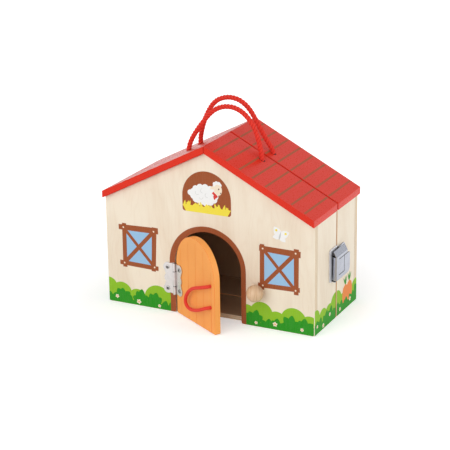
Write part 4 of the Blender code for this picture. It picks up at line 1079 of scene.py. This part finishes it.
def print_loft():
    """The loft's brown arch, with a lamb at rest on straw."""
    corner = LOFT_CORNER
    wide = LOFT_HALF_WIDTH
    outline = arc((0, LOFT_SPRING), wide, 0, 180, 60, LOFT_RISE)
    outline += arc((-wide + corner, LOFT_SILL + corner), corner, 180, 270, 6)
    outline += arc((wide - corner, LOFT_SILL + corner), corner, 270, 360, 6)
    print_layer("loft_arch", 1, [outline], "trim_ink")
    print_lamb()
    top = LOFT_SILL + LOFT_STRAW_FOOT
    straw = [[(-wide * 0.86, LOFT_SILL), (wide * 0.86, LOFT_SILL), (wide, top), (-wide, top)]]
    picker = random.Random(5)
    for step in range(STRAW_COUNT):
        u = (-STRAW_SPAN + 2 * STRAW_SPAN * step / (STRAW_COUNT - 1)) * wide
        lean = picker.uniform(-38, 38)
        lean = min(lean, 0) if u > wide * 0.8 else max(lean, 0) if u < -wide * 0.8 else lean
        straw.append(leaf((u, LOFT_SILL + 4 * MM), picker.uniform(7, 10.5) * MM, 3.2 * MM, lean))
    print_layer("loft_straw", 4, straw, "straw_ink")


def print_butterfly():
    """A small white butterfly over the right window, with yellow spots."""
    wings = []
    spots = []
    for hand in (-1, 1):
        lean = 48 * hand + BUTTERFLY_TILT
        wings.append(leaf(BUTTERFLY, 13.4 * MM, 9.5 * MM, lean))
        wings.append(leaf(BUTTERFLY, 9.6 * MM, 7 * MM, 118 * hand + BUTTERFLY_TILT))
        spots.append(circle(BUTTERFLY + heading(lean) * 8.2 * MM, 1.5 * MM, 20))
    print_layer("butterfly_wings", 1, wings, "wool_ink")
    tail = BUTTERFLY - heading(BUTTERFLY_TILT) * 5 * MM
    print_layer("butterfly_body", 2, [leaf(tail, 11 * MM, 2 * MM, BUTTERFLY_TILT)], "grey_ink")
    print_layer("butterfly_spots", 2, spots, "straw_ink")


def hedge_field(low_u, high_u, low_round=0, high_round=0):
    """The strip of wall that a hedge may fill, with rounded feet where the wall has them."""
    low_v = EDGE_RADIUS
    top = HEDGE_FIELD_TOP
    left = [(low_u, low_v)]
    right = [(high_u, low_v)]
    if low_round:
        left = arc((low_u + low_round, low_v + low_round), low_round, 180, 270, 5)
    if high_round:
        right = arc((high_u - high_round, low_v + high_round), high_round, 270, 360, 5)
    return left + right + [(high_u, top), (low_u, top)]


def print_hedge(name, face, body, field, domes, seed, roots=ROOT_SHARES):
    """A hedge along the foot of a wall: pale round bushes, and dark leafy tufts in front of them.

    roots are the shares of the hedge's height that the tufts may start from.
    """
    low_u = min(u for u, _ in field)
    high_u = max(u for u, _ in field)

    def strip(left, right, top):
        """The wall from the hedge's foot to a height."""
        return clip([(left, EDGE_RADIUS), (right, EDGE_RADIUS), (right, top), (left, top)], field)

    bushes = [strip(low_u, high_u, HEDGE_TOP * PALE_STRIP_SHARE)]
    for u, top, radius in domes:
        bushes.append(clip(circle((u * MM, (top - radius) * MM), radius * MM, 56), field))
    print_layer(f"{name}_bushes", 1, bushes, "pale_leaf_ink", face, body)
    picker = random.Random(seed)
    leaves = [strip(low_u, high_u, HEDGE_TOP * DARK_STRIP_SHARE)]
    count = max(2, round((high_u - low_u) / TUFT_SPACING))
    reach = TUFT_LEAF * TUFT_REACH_SHARE
    for step in range(count + 1):
        u = low_u + (high_u - low_u) * step / count + picker.uniform(-3, 3) * MM
        root = (u, HEDGE_TOP * picker.choice(roots))
        leaves.append(clip(circle(root, TUFT_LEAF * TUFT_CORE_SHARE, 20), field))
        if root[1] > EDGE_RADIUS:
            leaves.append(strip(u - reach, u + reach, root[1]))
        for lean in TUFT_LEANS:
            length = TUFT_LEAF * (1.1 - abs(lean) / 400) * picker.uniform(0.86, 1.12)
            lean += picker.uniform(-7, 7)
            leaves.append(clip(leaf(root, length, TUFT_LEAF * TUFT_WIDTH_SHARE, lean, 12, 0.68, 0.95), field))
    print_layer(f"{name}_leaves", 3, leaves, "dark_leaf_ink", face, body)


# Pale bushes of each stretch of hedge: middle, top and radius in millimetres
FRONT_LEFT_DOMES = [(-139, 32, 12), (-121, 28, 15), (-99, 22, 12), (-70, 31, 19), (-52, 26, 12)]
FRONT_RIGHT_DOMES = [(52, 27, 12), (71, 33, 15), (91, 24, 13), (113, 32, 17), (134, 25, 13)]
SIDE_FRONT_DOMES = [(-62, 32, 11), (-41, 27, 13), (-22, 26, 12), (-3, 34, 15)]
SIDE_REAR_DOMES = [(2, 34, 15), (19, 25, 13), (61, 30, 13)]
REAR_MIDDLE_DOMES = [(-24, 28, 14), (0, 33, 16), (24, 26, 13)]


def print_hedges():
    """The hedges on all four sides."""
    wall = HALF_WIDTH - EDGE_RADIUS
    jamb = DOORWAY_RADIUS + 3 * EDGE_RADIUS
    foot = PRINTED_FOOT_RADIUS
    print_hedge("front_left_hedge", "front", "front_half", hedge_field(-wall, -jamb, foot),
                FRONT_LEFT_DOMES, 3)
    print_hedge("front_right_hedge", "front", "front_half", hedge_field(jamb, wall, 0, foot),
                FRONT_RIGHT_DOMES, 8)
    rear_domes = [(-u, top, radius) for u, top, radius in FRONT_LEFT_DOMES + FRONT_RIGHT_DOMES]
    print_hedge("rear_hedge", "rear", "rear_half", hedge_field(-wall, wall, foot, foot),
                rear_domes + REAR_MIDDLE_DOMES, 12)
    for hand, face in ((1, "right"), (-1, "left")):
        print_hedge(f"{face}_front_hedge", face, "front_half", hedge_field(-SIDE_FAR, -SIDE_NEAR),
                    SIDE_FRONT_DOMES, 21 + hand, SIDE_ROOT_SHARES)
        print_hedge(f"{face}_rear_hedge", face, "rear_half", hedge_field(SIDE_NEAR, SIDE_FAR),
                    SIDE_REAR_DOMES, 41 + hand, SIDE_ROOT_SHARES)


def print_carrots():
    """Two carrots in the hedge behind the latch."""
    field = hedge_field(SIDE_NEAR, SIDE_FAR)
    roots = []
    tops = []
    for u, v, lean in ((29.5, 33.5, 185), (41, 35, 177)):
        base = Vector((u * MM, v * MM))
        roots.append(clip(leaf(base, 32 * MM, 18 * MM, lean, point=0.55), field))
        for spread in (-26, 0, 26):
            tops.append(leaf(base - Vector((0, 1 * MM)), 12 * MM, 2.6 * MM, spread + (181 - lean) * 1.5))
    print_layer("carrot_roots", 2, roots, "carrot_ink", "right", "rear_half")
    print_layer("carrot_tops", 2, tops, "dark_leaf_ink", "right", "rear_half")


def copies_tree():
    """A Geometry Nodes tree that sets copies of a shape on points, by their own turn and size."""
    group = bpy.data.node_groups.new("copies_on_points", "GeometryNodeTree")
    sockets = {}
    kinds = {"Points": "Geometry", "Shape": "Object", "Size": "Float", "Finish": "Material"}
    for label, kind in kinds.items():
        socket = group.interface.new_socket(label, in_out="INPUT", socket_type="NodeSocket" + kind)
        sockets[label] = socket.identifier
    group.interface.new_socket("Geometry", in_out="OUTPUT", socket_type="NodeSocketGeometry")
    tree = Tree(group)
    given = tree.add("NodeGroupInput").outputs
    shape = tree.add("GeometryNodeObjectInfo", {"Object": given["Shape"]}, transform_space="ORIGINAL")
    turn = tree.add("GeometryNodeInputNamedAttribute", {"Name": "turn"}, data_type="FLOAT_VECTOR")
    rotation = tree.add("FunctionNodeEulerToRotation", {0: turn.outputs[0]})
    own_size = tree.add("GeometryNodeInputNamedAttribute", {"Name": "size"}, data_type="FLOAT")
    size = tree.add("ShaderNodeMath", {0: own_size.outputs[0], 1: given["Size"]}, operation="MULTIPLY")
    placed = {"Points": given["Points"], "Instance": shape.outputs["Geometry"],
              "Rotation": rotation.outputs[0], "Scale": size.outputs[0]}
    copies = tree.add("GeometryNodeInstanceOnPoints", placed)
    whole = tree.add("GeometryNodeRealizeInstances", {0: copies.outputs[0]})
    coated = {"Geometry": whole.outputs[0], "Material": given["Finish"]}
    tree.add("NodeGroupOutput", {0: tree.add("GeometryNodeSetMaterial", coated).outputs[0]})
    return group, sockets


copies_group, copies_sockets = copies_tree()


def apply_modifiers(piece):
    """Turns a piece's modifiers into its mesh."""
    graph = bpy.context.evaluated_depsgraph_get()
    mesh = bpy.data.meshes.new_from_object(piece.evaluated_get(graph))
    piece.modifiers.clear()
    piece.data = mesh


def set_copies(name, prototype, places, finish_name, body, slot, nodes=()):
    """One piece of many copies of a prototype: places hold a point, three turns in radians and a size."""
    mesh = bpy.data.meshes.new(name)
    mesh.from_pydata([place for place, turn, size in places], [], [])
    mesh.attributes.new("turn", "FLOAT_VECTOR", "POINT")
    mesh.attributes.new("size", "FLOAT", "POINT")
    for index, (place, turn, size) in enumerate(places):
        mesh.attributes["turn"].data[index].vector = turn
        mesh.attributes["size"].data[index].value = size
    piece = new_object(name, mesh)
    modifier = piece.modifiers.new("copies", "NODES")
    modifier.node_group = copies_group
    for label, value in (("Shape", prototype), ("Size", 1.0), ("Finish", finishes[finish_name])):
        modifier[copies_sockets[label]] = value
    apply_modifiers(piece)
    return settle(piece, body, slot, *nodes)


def drop(prototype):
    """Removes a prototype once its copies are plain meshes."""
    bpy.data.objects.remove(prototype)


def spun(profile, sides):
    """A bmesh turned about Z from (radius, height) points, which rise from the axis back to the axis."""
    shape = bmesh.new()
    rings = []
    for radius, height in profile:
        ring = circle((0, 0), radius, sides) if radius else [(0, 0)]
        rings.append([shape.verts.new((x, y, height)) for x, y in ring])
    for low, high in zip(rings, rings[1:]):
        for step in range(sides):
            after = (step + 1) % sides
            corners = [low[step % len(low)], low[after % len(low)],
                       high[after % len(high)], high[step % len(high)]]
            shape.faces.new(list(dict.fromkeys(corners)))
    return shape


def round_head(name, radius, rise, skirt, depth, sides, finish_name):
    """A fastener with a domed head, which faces +Z from its seat at the origin."""
    profile = [(0, -depth), (SHANK_RADIUS, -depth), (SHANK_RADIUS, -HEAD_SEAT), (skirt, -HEAD_SEAT)]
    profile += arc((0, 0), radius, 0, 90, HEAD_FACETS, rise)[:-1] + [(0, rise)]
    return add_mesh(name, spun(profile, sides), finish_name)


def screw_prototype():
    """A screw with an oval head and a cross recess."""
    radius, rise = SCREW_RADIUS, SCREW_RISE
    screw = round_head("screw", radius, rise, SCREW_SKIRT, SCREW_DEPTH, SCREW_SIDES, "nickel")
    cutter_shape = bmesh.new()
    for turn in (0, math.pi / 2):
        arm = Matrix.Diagonal((SCREW_CROSS_LENGTH, SCREW_CROSS_WIDTH, 2 * SCREW_RECESS, 1))
        place = Matrix.Translation((0, 0, rise)) @ Matrix.Rotation(turn, 4, "Z") @ arm
        bmesh.ops.create_cube(cutter_shape, size=1, matrix=place)
    cutter = add_mesh("cross", cutter_shape, "nickel")
    cut = screw.modifiers.new("cross recess", "BOOLEAN")
    cut.operation = "DIFFERENCE"
    cut.solver = "EXACT"
    cut.use_self = True
    cut.object = cutter
    apply_modifiers(screw)
    drop(cutter)

    def cross_and_rim_shade(centre, _):
        """Painted shade: full in the cross, and partial round the head's rim."""
        if centre.xy.length < SCREW_CROSS_LENGTH / 2 + 0.05 * MM and 0 < centre.z < rise * 0.9:
            return 1.0
        return 0.8 if centre.xy.length > radius * 0.85 else 0.0

    mark_recess(screw, cross_and_rim_shade)
    shade_by_angle(screw.data, HEAD_CREASE)
    return screw


def set_screws():
    """Every hinge screw, one piece for each body."""
    prototype = screw_prototype()
    picker = random.Random(2)
    heights = (-SCREW_SPACING / 2, SCREW_SPACING / 2)
    wall = [((DOOR_AXIS.x - SCREW_FROM_AXIS, FRONT_Y - HINGE_SEAT, DOOR_HINGE_HEIGHT + rise),
             Euler((math.pi / 2, picker.uniform(0, 1.5), 0)), 1) for rise in heights]
    turn = -math.radians(DOOR_OPEN_ANGLE)
    door = []
    for rise in heights:
        place = door_place(SCREW_FROM_AXIS, HINGE_SEAT, DOOR_HINGE_HEIGHT + rise)
        rotation = Matrix.Rotation(turn, 3, "Z") @ Matrix.Rotation(math.pi / 2, 3, "X")
        rotation = rotation @ Matrix.Rotation(picker.uniform(0, 1.5), 3, "Z")
        door.append((place, rotation.to_euler(), 1))
    halves = {-1: wall, 1: []}
    for half in (-1, 1):
        for middle in HOUSE_HINGE_HEIGHTS:
            for rise in heights:
                rotation = Matrix.Rotation(-math.pi / 2, 3, "Y")
                rotation = rotation @ Matrix.Rotation(picker.uniform(0, 1.5), 3, "Z")
                place = (-HALF_WIDTH - HINGE_SEAT, SEAM_Y + half * SCREW_FROM_AXIS, middle + rise)
                halves[half].append((place, rotation.to_euler(), 1))
    for body, places, plates in (
            ("front_half", halves[-1], ("door_hinge_wall", "lower_hinge_front", "upper_hinge_front")),
            ("rear_half", halves[1], ("lower_hinge_rear", "upper_hinge_rear")),
            ("door", door, ("door_hinge_door",))):
        nodes = [f"{plate}_screw_{level}" for plate in plates for level in ("low", "high")]
        set_copies(f"{body}_screws", prototype, places, "nickel", body, "nickel", nodes)
    drop(prototype)


def set_rivets():
    """The latch plates' rivets."""
    prototype = round_head("rivet", RIVET_RADIUS, RIVET_RISE, RIVET_SKIRT, RIVET_DEPTH, RIVET_SIDES, "chrome")
    shade_by_angle(prototype.data, HEAD_CREASE)
    turn = Euler((0, math.pi / 2, 0))
    for body, plate, y in (("front_half", "latch_base", SEAM_Y - BASE_RIVET_FROM_SEAM),
                           ("rear_half", "latch_strike", SEAM_Y + STRIKE_RIVET_FROM_SEAM)):
        places = [((HALF_WIDTH + LATCH_PLATE_FACE, y, LATCH_HEIGHT + rise), turn, 1)
                  for rise in (-RIVET_SPACING / 2, RIVET_SPACING / 2)]
        set_copies(f"{plate}_rivets", prototype, places, "chrome", body, "nickel",
                   [f"{plate}_rivet_low", f"{plate}_rivet_high"])
    drop(prototype)


def set_roof_prints():
    """The brown stripes along both slopes, and painted shade printed on the lower sides of the ropes' holes.
    """
    shape = bmesh.new()
    size = Matrix.Diagonal((STRIPE_WIDTH, STRIPE_FAR - STRIPE_NEAR, 2 * INK, 1))
    bmesh.ops.create_cube(shape, size=1, matrix=size)
    stripe = add_mesh("stripe", shape, "stripe_ink")
    shape = bmesh.new()
    bmesh.ops.create_cone(shape, cap_ends=True, segments=28, radius1=1, radius2=1, depth=1)
    squeezed = Matrix.Diagonal((HOLE_SHADE_LENGTH, HOLE_SHADE_WIDTH, 3 * INK, 1))
    bmesh.ops.transform(shape, matrix=squeezed, verts=shape.verts)
    # A dark print of painted shade for the lower side of each rope's hole
    rim = add_mesh("hole_rim", shape, "hole_shade_ink")
    top = ROOF_UNDERSIDE_RIDGE + ROOF_BOARD / math.cos(ROOF_SLOPE)
    stripe_runs = [(STRIPE_FIRST + STRIPE_SPACING * number) * math.cos(ROOF_SLOPE)
                   for number in range(STRIPE_COUNT)]
    for name, prototype, ink, runs, from_seam in (
            ("roof_stripes", stripe, "stripe_ink", stripe_runs, (STRIPE_NEAR + STRIPE_FAR) / 2),
            ("rope_hole_rims", rim, "hole_shade_ink", [ROPE_FROM_RIDGE + HOLE_SHADE_OFFSET], ROPE_FROM_SEAM)):
        for half, body in ((-1, "front_half"), (1, "rear_half")):
            y = SEAM_Y + half * from_seam
            places = [((hand * run, y, top - run * math.tan(ROOF_SLOPE)), (0, hand * ROOF_SLOPE, 0), 1)
                      for hand in (-1, 1) for run in runs]
            set_copies(f"{body}_{name}", prototype, places, ink, body, "red_paint")
        drop(prototype)


def flat_prototype(name, outlines, lift):
    """A thin flat shape that stands in the XZ plane and faces -Y, centred on the origin."""
    shape = thin_layer(outlines, lambda across, up, rise: (across, -rise, up), lift, INK_ROOT)
    return add_mesh(name, shape, "petal_ink")


# Flowers on each side: across and up in millimetres, and size
FLOWERS = {
    ("front", "front_half"): [(-128, 8, 0.9), (-97, 5.6, 1.1), (-68, 4.6, 0.75), (64, 5.2, 0.75),
                              (89, 7.4, 1.05), (124, 6.2, 0.8)],
    ("right", "front_half"): [(-58, 10, 0.8), (-40, 5, 1.0), (-20, 12, 0.85)],
    ("right", "rear_half"): [(12, 6.5, 0.9), (44, 9, 1.0)],
    ("left", "front_half"): [(-50, 6, 1.1), (-33, 9, 0.9), (-14, 5, 1.0)],
    ("left", "rear_half"): [(16, 8, 1.0), (33, 5, 1.1), (48, 9, 0.8)],
    ("rear", "rear_half"): [(-124, 7, 1.1), (-101, 5, 0.9), (-74, 9, 1.0), (-42, 5.5, 1.2), (-12, 8, 0.9),
                            (21, 5, 1.1), (49, 9, 0.9), (77, 5.4, 1.1), (104, 8, 0.9), (127, 5, 1.0)],
}
FACE_TURNS = {"front": 0, "right": math.pi / 2, "rear": math.pi, "left": -math.pi / 2}


def set_flowers():
    """Five-petalled flowers in the hedges."""
    petals = [circle((0, 0), 1.2 * MM, 20)]
    petals += [leaf((0, 0), 3.1 * MM, 2.3 * MM, 72 * number, 12, 0.7, 1.05) for number in range(5)]
    petal = flat_prototype("petals", petals, 4.5 * INK)
    core = flat_prototype("cores", [circle((0, 0), 0.9 * MM, 20)], 6 * INK)
    picker = random.Random(9)
    for (face, body), flowers in FLOWERS.items():
        places = []
        for across, up, size in flowers:
            point = FACES[face](across * MM, up * MM, 0)
            turn = Matrix.Rotation(FACE_TURNS[face], 3, "Z") @ Matrix.Rotation(picker.uniform(0, 1.2), 3, "Y")
            places.append((point, turn.to_euler(), size))
        set_copies(f"{face}_{body}_petals", petal, places, "petal_ink", body, "birch")
        set_copies(f"{face}_{body}_flower_hearts", core, places, "core_ink", body, "birch")
    drop(petal)
    drop(core)


def set_nail_dots(places):
    """The pale nail heads printed on the window frames."""
    dot = flat_prototype("dot", [circle((0, 0), NAIL_DOT_RADIUS, 20)], 3 * INK)
    points = [(FACES["front"](x, z, 0), (0, 0, 0), 1) for x, z in places]
    set_copies("window_nail_dots", dot, points, "petal_ink", "front_half", "birch")
    drop(dot)


def add_knob():
    """The ball knob, flat where it meets its peg, and the peg."""
    low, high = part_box("door_knob")
    radius = (high.x - low.x) / 2
    centre = Vector(((low.x + high.x) / 2, low.y + radius, (low.z + high.z) / 2))
    flat = high.y - centre.y
    start = -math.degrees(math.asin(flat / radius))
    profile = [(0, -flat)] + arc((0, 0), radius, start, 90, BALL_FACETS)[:-1] + [(0, radius)]
    shape = spun(profile, BALL_SIDES)
    turn = Matrix.Translation(centre) @ Matrix.Rotation(math.pi / 2, 4, "X")
    bmesh.ops.transform(shape, matrix=turn, verts=shape.verts)
    ball = add_mesh("ball_knob", shape, "turned_beech")
    shade_by_angle(ball.data, BALL_CREASE)
    settle(ball, "front_half", "beech", "door_knob")
    dressed("door_knob_peg", "front_half", "beech", "turned_beech")


def mark_recess(piece, depth):
    """Marks how much painted shade, or in the door's plank lines a deeper colour, each face of a piece takes,
    by its centre and normal.
    """
    recess = piece.data.attributes.new("recess", "FLOAT", "FACE")
    for polygon in piece.data.polygons:
        recess.data[polygon.index].value = depth(polygon.center, polygon.normal)


def under_cover(centre, normal):
    """Painted shade: full where the latch's lever is turned to the wall or lines a cut, and a little on its
    bevel.
    """
    low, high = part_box("latch_lever")
    skin = high.x - COVER_SKIN
    inside = low.y + COVER_RIM < centre.y < high.y - COVER_NOSE and centre.z > low.z + COVER_RIM
    if normal.x < -0.3 or (inside and abs(normal.x) < 0.3 and centre.x > skin):
        return 1.0
    return 0.12 if 0.2 < normal.z < 0.9 else 0.0


def behind_plate(centre, _):
    """Painted shade on the ears that stand out of the latch's base plate."""
    return 1.0 if centre.x > HALF_WIDTH + LATCH_PLATE_FACE + OFF_PLATE else 0.0


def in_rope_hole(centre, normal):
    """Painted shade where a roof board lines a rope's hole."""
    near = abs(abs(centre.x) - ROPE_FROM_RIDGE) < HOLE_REACH_ACROSS
    near = near and abs(abs(centre.y - SEAM_Y) - ROPE_FROM_SEAM) < HOLE_REACH_ALONG
    return 1.0 if near and abs(normal.z) < 0.3 else 0.0


def in_groove(centre, normal):
    """Redder in the door's plank lines."""
    turn = math.radians(DOOR_OPEN_ANGLE)
    outward = Vector((-math.sin(turn), -math.cos(turn), 0))
    depth = DOOR_AXIS.y - FRONT_Y - (centre - DOOR_AXIS).dot(outward)
    return 1.0 if GROOVE_DEPTHS[0] < depth < GROOVE_DEPTHS[1] and normal.dot(outward) > 0.9 else 0.0


def between_knuckles(centre, normal):
    """Painted shade where a knuckle of the door's hinge faces its neighbour."""
    near = (centre.xy - DOOR_AXIS.xy).length < KNUCKLE_REACH
    inner = abs(centre.z - DOOR_HINGE_HEIGHT) < KNUCKLE_SPAN
    return 1.0 if near and inner and abs(normal.z) > 0.9 else 0.0


def on_pin(_, normal):
    """Painted shade on a hinge pin's shank."""
    return 1.0 if abs(normal.z) < 0.5 else 0.0


def dress_metal():
    """The hinges' leaves and pins and the latch's sheet parts, with softened rims."""
    for hinge in ("lower_hinge", "upper_hinge"):
        dressed(f"{hinge}_front_leaf", "front_half", "nickel", "nickel", SHEET_RIM)
        dressed(f"{hinge}_rear_leaf", "rear_half", "nickel", "nickel", SHEET_RIM)
        dressed(f"{hinge}_pin", "front_half", "nickel", "nickel")
    for node, body in (("door_hinge_wall_leaf", "front_half"), ("door_hinge_door_leaf", "door")):
        mark_recess(dressed(node, body, "nickel", "nickel", SHEET_RIM), between_knuckles)
    mark_recess(dressed("door_hinge_pin", "front_half", "nickel", "nickel"), on_pin)
    # The latch's base plate in the lighter copy of the plating, painted light
    mark_recess(dressed("latch_base", "front_half", "nickel", "lightened_plating", SHEET_RIM), behind_plate)
    dressed("latch_strike", "rear_half", "nickel", "chrome", SHEET_RIM)
    mark_recess(dressed("latch_lever", "latch_lever", "nickel", "chrome", SHEET_RIM), under_cover)
    dressed("latch_lever_pin", "front_half", "nickel", "chrome")


make_finishes()
add_camera()
add_rope("front", FRONT_ROPE)
add_rope("rear", REAR_ROPE)
add_door_loop()
dress_boards()
dress_metal()
add_knob()
set_screws()
set_rivets()
set_roof_prints()
print_door_border()
dots = print_window("left_window", WINDOW_LEFT, (1.2, 0.8, -0.9))
dots += print_window("right_window", WINDOW_RIGHT, (-0.8, 0.9, 1.1))
set_nail_dots(dots)
print_loft()
print_butterfly()
print_hedges()
print_carrots()
set_flowers()
add_stage()
